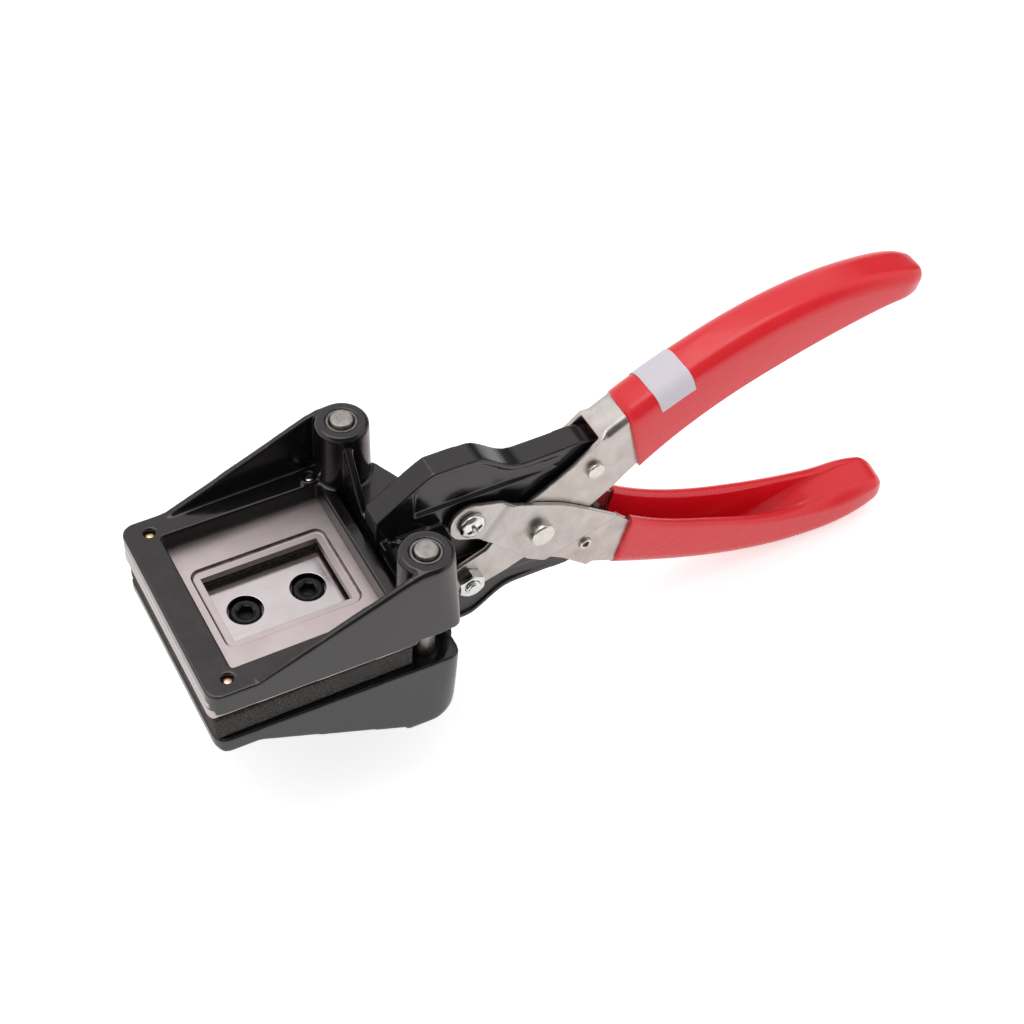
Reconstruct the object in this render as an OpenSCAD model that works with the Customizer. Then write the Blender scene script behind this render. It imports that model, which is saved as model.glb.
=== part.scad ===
// Hand-held picture punch: a die set on two guide posts, closed by
// parallel-action pliers. Millimetres. The origin is on the axis of the die
// opening, halfway between the two jaws; +X runs to the grips, +Z is the side
// that the picture comes out of.

/* [Picture and die] */
// Length of the cut picture, along the tool
photo_l = 32; // [26:0.5:34]
// Width of the cut picture, across the tool
photo_w = 22; // [16:0.5:28]
// Thickness of the die plate
die_t = 3; // [2.6:0.1:3.6]
// Depth of the milled pocket round the opening
pocket_depth = 1; // [0.4:0.1:1.4]
// Width of the pocket's floor round the opening
pocket_rim = 2.5; // [1.5:0.1:3.5]
// Corner radius of the pocket
pocket_r = 2.8; // [1.5:0.1:4]
// Clearance between the punch and the die, each side
punch_clear = 0.1; // [0.05:0.01:0.2]

/* [Jaws] */
// Distance from the middle of the opening to the front edge
front_reach = 30; // [28:0.5:36]
// Width of the jaws at the front
front_w = 60; // [58:0.5:66]
// Corner radius at the front
corner_r = 3.5; // [2:0.5:6]
// Thickness of the upper frame above its rim
frame_h = 7.5; // [6.5:0.1:9]
// Length of the upper window
window_l = 43; // [40:0.5:46]
// Width of the upper window
window_w = 45.6; // [42:0.2:48]
// Width of the bar behind the window
rear_bar = 3.6; // [2.5:0.1:5]
// Thickness of the lower deck
deck_t = 5; // [4:0.1:6]
// How far the lower deck stands behind the upper frame's front edge
deck_setback = 0.8; // [0:0.1:1]
// Front edge chamfer of the lower deck
deck_edge = 1.9; // [1:0.1:2.5]
// Height from the middle plane to the rim of the upper jaw
upper_rim_z = 4.8; // [4.4:0.1:5.4]
// Height from the middle plane down to the lower deck
lower_rim_z = 5.8; // [5.4:0.1:6.5]
// Wall beside the die plate
skirt_t = 1.1; // [0.8:0.1:1.6]
// Thickness of the side ribs
rib_t = 2; // [1.5:0.1:3]
// Where the side ribs start, from the middle of the opening
rib_start = 17.5; // [8:0.5:20]
// Thickness of the deck that ties the bosses to the arm
gusset_t = 2.8; // [2:0.1:4]

/* [Guide posts] */
// Diameter of the posts
post_d = 6; // [5:0.1:6.6]
// Distance from the rear edge of the jaws to the posts
post_back = 4.5; // [3.6:0.1:6]
// How far each post stands inside the front's half width
post_inset = 5.85; // [5:0.05:7]
// Outer diameter of the post bosses
boss_d = 14.3; // [12.5:0.1:16]
// Height of the bosses from the middle plane
boss_h = 31; // [28:0.5:34]
// How much the lower bosses widen towards their feet, on the radius
foot_flare = 0; // [0:0.1:2]
// Edge chamfer of the lower bosses
foot_edge = 2.2; // [1:0.1:3]
// Edge chamfer of the upper bosses
boss_edge = 0.8; // [0.4:0.1:1.2]
// How far the posts stand out of the upper bosses
post_proud = 0.8; // [0.3:0.1:2]
// Outer diameter of the bushes
bush_d = 8.3; // [7.8:0.1:9]
// Running clearance of the posts, on the radius
post_clear = 0.05; // [0.02:0.01:0.1]

/* [Motion] */
// Travel of the upper jaw
stroke = 7; // [5:0.1:7.4]
// Height of the punch's cutting face from the middle plane
punch_top_z = 1.6; // [1:0.1:1.8]
// Height of the foam's top from the middle plane
foam_top_z = 1.8; // [0.5:0.1:2]

/* [Arms and pivots] */
// Width of the arms
arm_w = 7; // [6:0.1:8]
// Distance from the posts to the handle pivots
pivot_back = 22.4; // [21:0.2:24]
// Height of the handle pivots from the middle plane
pivot_z = 11.2; // [10.6:0.1:12]
// Distance from the handle pivots to the central rivet
lever = 20.3; // [19.5:0.1:21.5]
// Distance from the central rivet to the slide pins
pin_back = 16.3; // [15.3:0.1:17.5]
// Height of the slide pins from the middle plane
pin_z = 15; // [14:0.1:16]
// Diameter of the pivot screws
pivot_d = 4; // [3.5:0.1:5]
// Diameter of the central rivet
rivet_d = 5; // [4:0.1:5.4]
// Diameter of the slide pins
pin_d = 3.5; // [3:0.1:4]
// Running clearance of the pivots, on the radius
pivot_clear = 0.05; // [0.02:0.01:0.1]

/* [Handles] */
// Thickness of the handle sheet
sheet_t = 1.5; // [1.2:0.1:1.8]
// Gap between an arm and the handle sheet, each side
side_gap = 1.05; // [0.9:0.05:1.4]
// Gap between the crossing sheets
lap_gap = 0.2; // [0.15:0.05:0.4]
// Radius of the handle ends round the pivots
prong_r = 6; // [5.6:0.1:6.4]
// Length over which the sheet steps out
ramp_w = 2; // [1.5:0.1:2.6]
// Length of the handles behind the slide pins
handle_l = 93.4; // [85:0.2:100]
// Length of bare steel ahead of the upper grip
upper_bare_l = 8.4; // [7:0.1:12]
// Length of bare steel ahead of the lower grip
lower_bare_l = 9.6; // [7:0.1:12]
// Thickness of the grip coat
coat_t = 1.2; // [0.8:0.1:1.6]
// Length of the solid tip of the upper grip
upper_tip_l = 9.4; // [8:0.2:18]
// Length of the solid tip of the lower grip
lower_tip_l = 18; // [8:0.2:20]
// Edge radius of the grip's back
grip_r = 3.5; // [2.5:0.1:4.5]
// Length of the size label along the grip
label_l = 10.5; // [8:0.5:14]

/* [Spring] */
// Wire of the return spring
wire_d = 1; // [0.8:0.1:1.1]
// Mean diameter of the return spring
coil_d = 6.6; // [6:0.1:7]
// Number of working curls
curls = 7; // [5:1:8]
// Depth of each spring seat in its jaw
seat_depth = 6; // [5:0.5:8]

/* [Hidden] */
$fn = 64;
big = 200;
eps = 0.01;
weld = 0.05;

// Heights of the die set
frame_top_z = upper_rim_z + frame_h;
die_drop = 1.2;
die_bottom_z = upper_rim_z - die_drop;
die_top_z = die_bottom_z + die_t;
die_fit = 0.1;

// Plan of the jaws
front_x = -front_reach;
deck_front_x = front_x + deck_setback;
front_hw = front_w / 2;
post_y = front_hw - post_inset;
boss_r = boss_d / 2;
side_hw = post_y + boss_r;
rear_x = window_l / 2 + rear_bar;
post_x = rear_x + post_back;
pivot_x = post_x + pivot_back;
rivet_x = pivot_x + lever;
pin_x = rivet_x + pin_back;
die_rear_x = rear_x - die_fit;
die_hw = front_hw - skirt_t;
gusset_gap = 1;
gusset_reach = pivot_x - prong_r - gusset_gap;
gusset_side = 5.6;
gusset_hw = arm_w / 2 + gusset_side;
gusset_from_boss = [1.8, -1.2];
web_t = 2;
web_lead = 1.6;
web_x = post_x - web_lead;

// Screws of the die and of the punch
die_screw_d = 3;
die_screw_head_d = 5.6;
die_screw_inset = 4.7;
die_screw_front_inset = 6.5;
die_screw_rear_inset = 4.5;
die_screw_front_x = front_x + die_screw_front_inset;
die_screw_rear_x = rear_x - die_screw_rear_inset;
die_screw_y = front_hw - die_screw_inset;
die_screw_sink = 1;
die_screw_ring_d = 5.4;
die_screw_ring_h = 0.8;
punch_screw_d = 5;
punch_screw_head_d = 8.5;
punch_screw_head_h = 5;
punch_screw_bore_d = 9.4;
punch_screw_sink = 0.7;
punch_screw_hex = 4.6;
punch_screw_hex_depth = 2.6;
punch_screw_x = photo_l * 0.27;

// Levels of the handle sheets across the tool
in0 = arm_w / 2 + side_gap;
in1 = in0 + sheet_t;
out0 = in1 + lap_gap;
out1 = out0 + sheet_t;
hub_gap = 0.15;
hub_hw = in0 - hub_gap;
head_gap = 0.1;

// Closing angle of each handle and the slide of its pin in the arm
close_angle = atan2(pivot_z, lever) + asin((stroke / 2 - pivot_z) / norm([lever, pivot_z]));
pin_arm = [pin_x - pivot_x, pin_z + pivot_z];
pin_closed = [
    pin_arm.x * cos(close_angle) + pin_arm.y * sin(close_angle),
    pin_arm.y * cos(close_angle) - pin_arm.x * sin(close_angle) + stroke
];
pin_slide = pin_closed - pin_arm;
slot_clear = 0.2;
slot_d = pin_d + 2 * slot_clear;

// Outline of an arm: top edge, then the inner edge that faces the other arm
arm_lead = 3.4;
arm_front_x = post_x - arm_lead;
arm_gap = 1.1;
arm_inner_z = stroke / 2 + arm_gap;
notch_gap = 1;
notch_z = stroke / 2 + rivet_d / 2 + notch_gap;
notch_hw = 6;
notch_shift = 0.8;
notch_x = rivet_x + notch_shift;
arm_end_wall = 5.6;
arm_end_x = pin_x + pin_slide.x + arm_end_wall;
arm_front_rise = 9.4;
arm_crest_from_pivot = [[-12, 19.4], [-7.5, 20.5], [2, 20.2], [5.5, 18.8]];
arm_dip_from_rivet = [[-8.8, 10.5], [-4.3, 9], [4.7, 9]];
arm_tail_from_pin = [[-3.6, 9.2], [1.4, 7.6]];
arm_top = concat(
    [[arm_front_x, pivot_z + arm_front_rise]],
    [for (p = arm_crest_from_pivot) [pivot_x, pivot_z] + p],
    [for (p = arm_dip_from_rivet) [rivet_x, pin_z] + p],
    [for (p = arm_tail_from_pin) [pin_x, pin_z] + p]
);
arm_flange = 1.8;
arm_recess = 1;
arm_ledge_rise = 6.8;
arm_ledge_z = pivot_z + arm_ledge_rise;
recess_front = 8;
recess_back = 9;
recess_x0 = arm_front_x + recess_front;
recess_x1 = pin_x - recess_back;

// Outline of a handle: straight edges round the crossing, then a bent
// channel whose back is the crown curve and whose edge is the lip curve
pivot_end = [pivot_x, -pivot_z];
pin_at = [pin_x, pin_z];
crown_start = [1.1, 10];
crown_share = [0.315, 0.657, 1];
lip_start = [7.4, -9.5];
lip_share = [0.325, 0.647, 0.979];
upper_crown_z = [27.3, 39.4, 33];
upper_lip_z = [12.3, 19.8, 24.7];
lower_crown_z = [23.5, 38.9, 37.6];
lower_lip_z = [10.8, 18.7, 23.7];
function handle_curve(start, share, z) = concat(
    [pin_at + start], [for (i = [0:2]) pin_at + [share[i] * handle_l, z[i]]]
);
upper_channel = [
    handle_curve(crown_start, crown_share, upper_crown_z), handle_curve(lip_start, lip_share, upper_lip_z)
];
lower_channel = [
    handle_curve(crown_start, crown_share, lower_crown_z), handle_curve(lip_start, lip_share, lower_lip_z)
];
belly_from_pivot = [12.3, -2.4];
belly_from_rivet = [[4, -8.2], [11.1, -3.9]];
neck_from_rivet = [[9.5, 18.1], [-3, 10.2], [-13.7, -1.1], [-15, -2.6]];
curve_steps = 18;
upper_grip_start = upper_bare_l / handle_l;
lower_grip_start = lower_bare_l / handle_l;
upper_tip_mid = 0.4;
lower_tip_mid = 0.25;
tip_wall = 3.7;
cavity_end = 1 - tip_wall / handle_l;
inner_coat = 1;
lip_r = 1.6;
crease_1_from_pivot = [8.5, 2.3];
crease_1 = pivot_end + crease_1_from_pivot;
crease_1_dir = 124;
crease_2_from_pin = [-2.6, -4.8];
crease_2 = pin_at + crease_2_from_pin;
crease_2_dir = 162;
rivet_head_d = 7.2;
rivet_head_h = 2.6;
rivet_loose = 0.25;
screw_head_d = 7.6;
screw_head_h = 2.6;
nut_af = 7;
nut_h = 3.2;
screw_tail = 1;
pin_head_d = 5.2;
pin_head_h = 1.6;
pin_tail = 0.8;
pin_hole_d = 2;
label_inset = 17.3;
label_drop = 6;
label_rise = 2;

// Foam pad and return spring
foam_inset = 1;
foam_gap = 0.5;
foam_post_gap = 2;
foam_rear_x = post_x - post_d / 2 - foam_post_gap;
spring_back = 6.4;
spring_x = post_x + spring_back;
seat_clear = 0.6;
seat_d = coil_d + wire_d + 2 * seat_clear;
seat_wall = 1.8;
seat_roof = 2;
spring_low_z = -lower_rim_z - seat_depth + 2 * eps;
spring_high_z = upper_rim_z + seat_depth - 2 * eps;

// Point on a cubic curve with four control points
function curve_at(c, t) =
    c[0] * pow(1 - t, 3) + 3 * c[1] * t * pow(1 - t, 2)
    + 3 * c[2] * t * t * (1 - t) + c[3] * pow(t, 3);

// Smooth line through given points, with n steps between neighbours
function between(p, q, r, s, t) =
    0.5 * (2 * q + (r - p) * t
    + (2 * p - 5 * q + 4 * r - s) * t * t + (3 * q - p - 3 * r + s) * t * t * t);
function smooth(pts, n) = let (m = len(pts) - 1) concat(
    [for (i = [0:m - 1], k = [0:n - 1])
        between(pts[max(i - 1, 0)], pts[i], pts[i + 1], pts[min(i + 2, m)], k / n)],
    [pts[m]]
);

// Solid through a row of closed outlines with equal point counts, each
// running anticlockwise as seen from the last one
module skin(rings) {
    n = len(rings[0]);
    m = len(rings);
    sides = [for (i = [0:m - 2], j = [0:n - 1]) let (k = (j + 1) % n)
        each [[i * n + j, (i + 1) * n + j, (i + 1) * n + k], [i * n + j, (i + 1) * n + k, i * n + k]]];
    start = [for (j = [1:n - 2]) [0, j, j + 1]];
    end = [for (j = [1:n - 2]) [(m - 1) * n, (m - 1) * n + j + 1, (m - 1) * n + j]];
    polyhedron([for (r = rings) each r], concat(sides, start, end));
}

// Upright slab from y0 to y1 with an outline drawn in x and z
module slab(y0, y1) {
    translate([0, y1, 0]) rotate([90, 0, 0]) linear_extrude(y1 - y0) children();
}

// Round bar across the tool from y0 to y1
module cross_bar(x, z, d, y0, y1) {
    translate([x, y0, z]) rotate([-90, 0, 0]) cylinder(d = d, h = y1 - y0);
}

// Both sides of the tool
module both_sides() {
    children();
    mirror([0, 1, 0]) children();
}

function side_at(x) = front_hw + (side_hw - front_hw) * (x - front_x) / (post_x - front_x);

// Everything between the two outer edges of a jaw, as far as the posts
module between_sides() {
    ahead = [front_x - (post_x - front_x), 2 * front_hw - side_hw];
    polygon([[ahead.x, -ahead.y], [post_x, -side_hw], [post_x, side_hw], ahead]);
}

// Plan of a jaw without its bosses, from its front edge at x0
module jaw_plan(x0) {
    x1 = x0 + corner_r;
    intersection() {
        between_sides();
        union() {
            translate([x1, -front_w]) square([rear_x - x1, 2 * front_w]);
            translate([x0, corner_r - front_hw]) square([corner_r + eps, front_w - 2 * corner_r]);
            for (s = [-1, 1]) {
                translate([x1, s * (front_hw - corner_r)]) circle(corner_r);
                translate([rear_x - 1, s * (post_y + front_hw) - front_hw])
                    square([post_x - rear_x + 2, front_w]);
            }
        }
    }
}

// Deck that ties the bosses to the arm, one side of it
module gusset_plan() {
    polygon([
        [web_x, 0], [gusset_reach, 0], [gusset_reach, gusset_hw],
        [post_x + boss_r, post_y] + gusset_from_boss, [post_x + boss_r / 2, post_y + boss_r / 2],
        [web_x, post_y]
    ]);
}

// Thin wall along the outer edge, rising to the boss
module side_rib(base_z, edge) {
    intersection() {
        linear_extrude(boss_h) polygon([
            [front_x, side_at(front_x)], [post_x, side_hw],
            [post_x, side_hw - rib_t], [front_x, side_at(front_x) - rib_t]
        ]);
        slab(0, side_hw + 1) polygon([
            [-rib_start, base_z - 1], [post_x, base_z - 1], [post_x, boss_h - edge],
            [post_x - boss_r, boss_h - 1.4], [-rib_start, base_z]
        ]);
    }
}

// Web from a boss down to the front of the arm
module cross_web(base_z) {
    translate([web_x - web_t / 2, 0, 0]) rotate([90, 0, 90]) linear_extrude(web_t) polygon([
        [0, base_z], [post_y, base_z], [post_y, boss_h - 2], [post_y - boss_r + 1, boss_h - 1.5],
        [arm_w / 2 + 3.5, frame_top_z + 1.5], [0, frame_top_z + 1.5]
    ]);
}

// Arm from the jaw to the handle, with its slot and pivot hub
module arm() {
    difference() {
        union() {
            slab(-arm_w / 2, arm_w / 2) polygon(concat(
                smooth(arm_top, 4),
                [
                    [arm_end_x - 2, pin_z + 4], [arm_end_x, pin_z + 1], [arm_end_x, pin_z - 3],
                    [arm_end_x - 3, pin_z - 5],
                    [notch_x + notch_hw + 5, notch_z + 1], [notch_x + notch_hw, notch_z],
                    [notch_x - notch_hw, notch_z], [notch_x - notch_hw - 3, arm_inner_z],
                    [arm_front_x, arm_inner_z]
                ]
            ));
            cross_bar(pivot_x, pivot_z, 2 * prong_r - 3, -hub_hw, hub_hw);
        }
        both_sides() slab(arm_w / 2 - arm_recess, arm_w) arm_recess_outline();
        cross_bar(pivot_x, pivot_z, pivot_d + 2 * pivot_clear, -big, big);
        pin_slot();
    }
}

// Panel sunk in each side of an arm under its top flange
module arm_recess_outline() {
    edge = [for (p = smooth(arm_top, 4)) if (p.x > recess_x0 && p.x < recess_x1) p];
    last = len(edge) - 1;
    polygon(concat(
        [for (p = edge) [p.x, p.y - arm_flange]],
        [[edge[last].x, arm_ledge_z], [edge[0].x, arm_ledge_z]]
    ));
}

// Slot that the slide pin runs along while the handles close
module pin_slot() {
    for (p = [[0, 0], pin_slide]) cross_bar(pin_x + p.x, pin_z + p.y, slot_d, -big, big);
    translate([pin_x, 0, pin_z]) rotate([0, -atan2(pin_slide.y, pin_slide.x), 0])
        translate([0, -big, -slot_d / 2]) cube([norm(pin_slide), 2 * big, slot_d]);
}

// What the two jaws share, drawn as the upper one
module jaw_back(rim_z, base_z, flare, edge) {
    difference() {
        union() {
            both_sides() {
                translate([rear_x - 1, 0, rim_z]) cube([web_x - rear_x + 1, post_y, gusset_t]);
                translate([0, 0, base_z - gusset_t]) linear_extrude(gusset_t) gusset_plan();
                translate([post_x, post_y, 0]) rotate_extrude() polygon([
                    [0, rim_z], [boss_r + flare / 2, rim_z], [boss_r + flare, boss_h - edge],
                    [boss_r + flare - edge, boss_h], [0, boss_h]
                ]);
                side_rib(base_z, edge);
                cross_web(rim_z);
            }
            translate([spring_x, 0, rim_z])
                cylinder(d = seat_d + 2 * seat_wall, h = seat_depth + seat_roof);
            arm();
        }
        translate([spring_x, 0, rim_z - big]) cylinder(d = seat_d, h = big + seat_depth);
    }
}

module die_screw_places() {
    for (x = [die_screw_front_x, die_screw_rear_x], s = [-1, 1])
        translate([x, s * die_screw_y, 0]) children();
}

module upper_casting() {
    color("#2b292c") difference() {
        union() {
            difference() {
                translate([0, 0, upper_rim_z]) linear_extrude(frame_h) jaw_plan(front_x);
                translate([0, 0, frame_top_z / 2])
                    cube([window_l, window_w, 2 * frame_top_z], center = true);
            }
            jaw_back(upper_rim_z, frame_top_z, 0, boss_edge);
            for (s = [-1, 1]) translate([die_screw_rear_x, s * die_screw_y, frame_top_z - eps])
                cylinder(d = die_screw_ring_d, h = die_screw_ring_h);
        }
        translate([front_x - 1, -die_hw - die_fit, 0])
            cube([die_rear_x + die_fit - front_x + 1, 2 * (die_hw + die_fit), die_top_z]);
        die_screw_places() cylinder(d = die_screw_d, h = big);
        both_sides() translate([post_x, post_y, 0]) cylinder(d = bush_d, h = big);
    }
}

module lower_casting() {
    color("#2b292c") mirror([0, 0, 1]) difference() {
        union() {
            translate([0, 0, lower_rim_z]) linear_extrude(deck_t) jaw_plan(deck_front_x);
            jaw_back(lower_rim_z, lower_rim_z + deck_t, foot_flare, foot_edge);
        }
        for (s = [-1, 1]) translate([s * punch_screw_x, 0, 0]) cylinder(d = punch_screw_d, h = big);
        translate([deck_front_x, 0, lower_rim_z + deck_t]) rotate([0, 45, 0])
            cube([sqrt(2) * deck_edge, big, sqrt(2) * deck_edge], center = true);
        both_sides() translate([post_x, post_y, 0]) {
            cylinder(d = post_d, h = big);
            cylinder(d = bush_d, h = lower_rim_z + 1);
        }
    }
}

module guide_post(side) {
    chamfer = 0.5;
    top = boss_h + post_proud;
    color("#a9a29c") translate([post_x, side * post_y, 0]) rotate_extrude() polygon([
        [0, -boss_h], [post_d / 2, -boss_h], [post_d / 2, top - chamfer],
        [post_d / 2 - chamfer, top], [0, top]
    ]);
}

module near_guide_post() {
    guide_post(-1);
}

module far_guide_post() {
    guide_post(1);
}

module guide_bush(side) {
    bore_r = post_d / 2 + post_clear;
    chamfer = 0.4;
    color("#8d8884") translate([post_x, side * post_y, 0]) rotate_extrude() polygon([
        [bore_r, upper_rim_z], [bush_d / 2, upper_rim_z], [bush_d / 2, boss_h],
        [bore_r + chamfer, boss_h], [bore_r, boss_h - chamfer]
    ]);
}

module near_bush() {
    guide_bush(-1);
}

module far_bush() {
    guide_bush(1);
}

module die_plate() {
    rim = [photo_l / 2 + pocket_rim, photo_w / 2 + pocket_rim];
    color("#b3aaa4") difference() {
        translate([0, 0, die_bottom_z]) linear_extrude(die_t) intersection() {
            jaw_plan(front_x);
            translate([front_x - 1, -die_hw]) square([die_rear_x - front_x + 1, 2 * die_hw]);
        }
        cube([photo_l, photo_w, big], center = true);
        translate([0, 0, die_top_z - pocket_depth]) linear_extrude(big) {
            square([2 * rim.x, 2 * (rim.y - pocket_r)], center = true);
            square([2 * (rim.x - pocket_r), 2 * rim.y], center = true);
            for (sx = [-1, 1], sy = [-1, 1])
                translate([sx * (rim.x - pocket_r), sy * (rim.y - pocket_r)]) circle(pocket_r);
        }
        die_screw_places() die_screw_shape();
    }
}

// Flat-headed screw from below, its tip just under the frame's top
module die_screw_shape() {
    taper = (die_screw_head_d - die_screw_d) / 2;
    tip_z = frame_top_z - die_screw_sink;
    translate([0, 0, die_bottom_z]) rotate_extrude() polygon([
        [0, 0], [die_screw_head_d / 2, 0], [die_screw_d / 2, taper],
        [die_screw_d / 2, tip_z - die_bottom_z], [0, tip_z - die_bottom_z]
    ]);
}

module die_screws() {
    color("#b08a5a") die_screw_places() die_screw_shape();
}

module punch_block() {
    size = [photo_l - 2 * punch_clear, photo_w - 2 * punch_clear];
    head_floor_z = punch_top_z - punch_screw_sink - punch_screw_head_h;
    color("#b9b1ab") difference() {
        translate([-size.x / 2, -size.y / 2, -lower_rim_z])
            cube([size.x, size.y, punch_top_z + lower_rim_z]);
        for (s = [-1, 1]) translate([s * punch_screw_x, 0, 0]) {
            translate([0, 0, head_floor_z]) cylinder(d = punch_screw_bore_d, h = big);
            translate([0, 0, -big / 2]) cylinder(d = punch_screw_d, h = big);
        }
    }
}

module punch_screws() {
    head_z = punch_top_z - punch_screw_sink;
    head_floor_z = head_z - punch_screw_head_h;
    color("#1c1c1e") for (s = [-1, 1]) translate([s * punch_screw_x, 0, 0]) difference() {
        union() {
            translate([0, 0, head_floor_z]) cylinder(d = punch_screw_head_d, h = punch_screw_head_h);
            translate([0, 0, -lower_rim_z - deck_t])
                cylinder(d = punch_screw_d, h = head_floor_z + lower_rim_z + deck_t + eps);
        }
        translate([0, 0, head_z - punch_screw_hex_depth])
            cylinder(d = punch_screw_hex, h = punch_screw_hex_depth + 1, $fn = 6);
    }
}

module foam_pad() {
    x0 = front_x + foam_inset;
    hw = front_hw - foam_inset;
    hole = [photo_l + 2 * foam_gap, photo_w + 2 * foam_gap];
    color("#1a1817") translate([0, 0, -lower_rim_z])
        linear_extrude(foam_top_z + lower_rim_z) difference() {
            translate([x0, -hw]) square([foam_rear_x - x0, 2 * hw]);
            square(hole, center = true);
        }
}

// Round-wire compression spring as one unbroken tube: a flat closing curl at
// each end and open curls between
coil_rings = 8;
coil_sides = 6;
end_curls = 1;
coil_turns = curls + 2 * end_curls;
coil_pitch_end = wire_d + 0.5;
coil_span = spring_high_z - spring_low_z - wire_d;
coil_pitch = (coil_span - 2 * end_curls * coil_pitch_end) / curls;
function coil_z(turn) =
    turn < end_curls ? turn * coil_pitch_end
    : turn < end_curls + curls ? end_curls * coil_pitch_end + (turn - end_curls) * coil_pitch
    : end_curls * coil_pitch_end + curls * coil_pitch + (turn - end_curls - curls) * coil_pitch_end;
function coil_centre(i) = let (turn = i / coil_rings)
    [coil_d / 2 * cos(360 * turn), coil_d / 2 * sin(360 * turn), coil_z(turn)];
coil_points = [for (i = [0:coil_turns * coil_rings]) coil_centre(i)];
coil_gap = min([for (i = [0:len(coil_points) - 1], j = [0:len(coil_points) - 1])
    if (j - i >= coil_rings / 2) norm(coil_points[j] - coil_points[i]) - wire_d]);
echo(least_gap_of_spring = coil_gap);

module return_spring() {
    rings = [for (i = [0:len(coil_points) - 1]) let (a = 360 * i / coil_rings, c = coil_points[i])
        [for (k = [0:coil_sides - 1]) let (b = -360 * k / coil_sides)
            c + wire_d / 2 * [cos(b) * cos(a), cos(b) * sin(a), sin(b)]]];
    color("#9c9a98") translate([spring_x, 0, spring_low_z + wire_d / 2]) skin(rings);
}

// Screw across the tool at a handle pivot: head on one side, nut on the other
module pivot_screw() {
    slot_w = 1;
    slot_l = 4.4;
    slot_depth = 1.2;
    head_round = 1;
    seat = in1 + head_gap;
    tail = -seat - nut_h - screw_tail;
    head_r = screw_head_d / 2;
    color("#c9c9c8") translate([pivot_x, 0, pivot_z]) difference() {
        rotate([90, 0, 0]) rotate_extrude() polygon([
            [0, tail], [pivot_d / 2, tail], [pivot_d / 2, seat], [head_r, seat],
            [head_r, seat + screw_head_h - head_round], [head_r - head_round, seat + screw_head_h],
            [0, seat + screw_head_h]
        ]);
        for (a = [0, 90]) translate([0, -seat - screw_head_h, 0]) rotate([0, a + 20, 0])
            cube([slot_l, 2 * slot_depth, slot_w], center = true);
    }
}

module pivot_nut() {
    color("#d0d0ce") translate([pivot_x, in1 + head_gap, pivot_z]) rotate([-90, 0, 0]) difference() {
        cylinder(d = nut_af / cos(30), h = nut_h, $fn = 6);
        translate([0, 0, -1]) cylinder(d = pivot_d, h = nut_h + 2);
    }
}

// Half turn about the long axis: takes upper pieces to their lower twins
module turned() {
    rotate([180, 0, 0]) children();
}

module upper_pivot_screw() {
    pivot_screw();
}

module upper_pivot_nut() {
    pivot_nut();
}

module lower_pivot_screw() {
    turned() pivot_screw();
}

module lower_pivot_nut() {
    turned() pivot_nut();
}

// Points on the back and the edge of a channel, the depth between them and
// the unit vector from the back to the edge
function crown_at(channel, t) = curve_at(channel[0], t);
function lip_at(channel, t) = curve_at(channel[1], t);
function depth_at(channel, t) = norm(lip_at(channel, t) - crown_at(channel, t));
function depth_dir(channel, t) = (lip_at(channel, t) - crown_at(channel, t)) / depth_at(channel, t);

// Outline of one side of a handle, from its pivot end to its tail
module handle_outline(channel) {
    translate(pivot_end) circle(prong_r);
    polygon(concat(
        [
            pivot_end + prong_r * [cos(115), sin(115)], pivot_end,
            pivot_end + prong_r * [cos(-62), sin(-62)]
        ],
        smooth(concat(
            [pivot_end + belly_from_pivot], [for (p = belly_from_rivet) [rivet_x, 0] + p],
            [lip_at(channel, 0)]
        ), 3),
        [for (i = [1:curve_steps]) lip_at(channel, i / curve_steps)],
        [for (i = [curve_steps:-1:0]) crown_at(channel, i / curve_steps)],
        [for (p = neck_from_rivet) [rivet_x, 0] + p]
    ));
}

// Everything to the left of a crease line, seen along it
module left_of(crease, dir) {
    translate(crease) rotate(dir) translate([-big, 0]) square([2 * big, big]);
}

// Sloped piece of sheet that joins the two levels at a crease
module step_ramp(channel, crease, dir, side) {
    intersection() {
        slab(in0 - 1, out1 + 1) handle_outline(channel);
        translate([crease.x, 0, crease.y]) rotate([0, -dir - 90, 0])
            linear_extrude(2 * big, center = true) polygon([
                [-weld * side, out0], [-weld * side, out1], [side * ramp_w, in1], [side * ramp_w, in0]
            ]);
    }
}

// Flat side of a handle
module flat_side(channel) {
    slab(in0, in1) handle_outline(channel);
}

// Side that steps outward to pass over the other handle
module stepped_side(channel) {
    n1 = (ramp_w - weld) * [-sin(crease_1_dir), cos(crease_1_dir)];
    n2 = (weld - ramp_w) * [-sin(crease_2_dir), cos(crease_2_dir)];
    slab(in0, in1) intersection() {
        handle_outline(channel);
        left_of(crease_1 + n1, crease_1_dir);
    }
    step_ramp(channel, crease_1, crease_1_dir, 1);
    slab(out0, out1) difference() {
        intersection() {
            handle_outline(channel);
            left_of(crease_2, crease_2_dir);
        }
        left_of(crease_1, crease_1_dir);
    }
    step_ramp(channel, crease_2, crease_2_dir, -1);
    slab(in0, in1) difference() {
        handle_outline(channel);
        left_of(crease_2 + n2, crease_2_dir);
    }
}

// Bent back of the channel
module crown_strip(channel) {
    outer = [for (i = [0:curve_steps]) crown_at(channel, i / curve_steps)];
    inner = [for (i = [curve_steps:-1:0]) let (t = i / curve_steps)
        crown_at(channel, t) + sheet_t * depth_dir(channel, t)];
    slab(-in1, in1) polygon(concat(outer, inner));
}

// Steel handle without its holes, drawn as the upper one
module handle_blank(channel) {
    mirror([0, 1, 0]) flat_side(channel);
    stepped_side(channel);
    crown_strip(channel);
}

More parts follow.
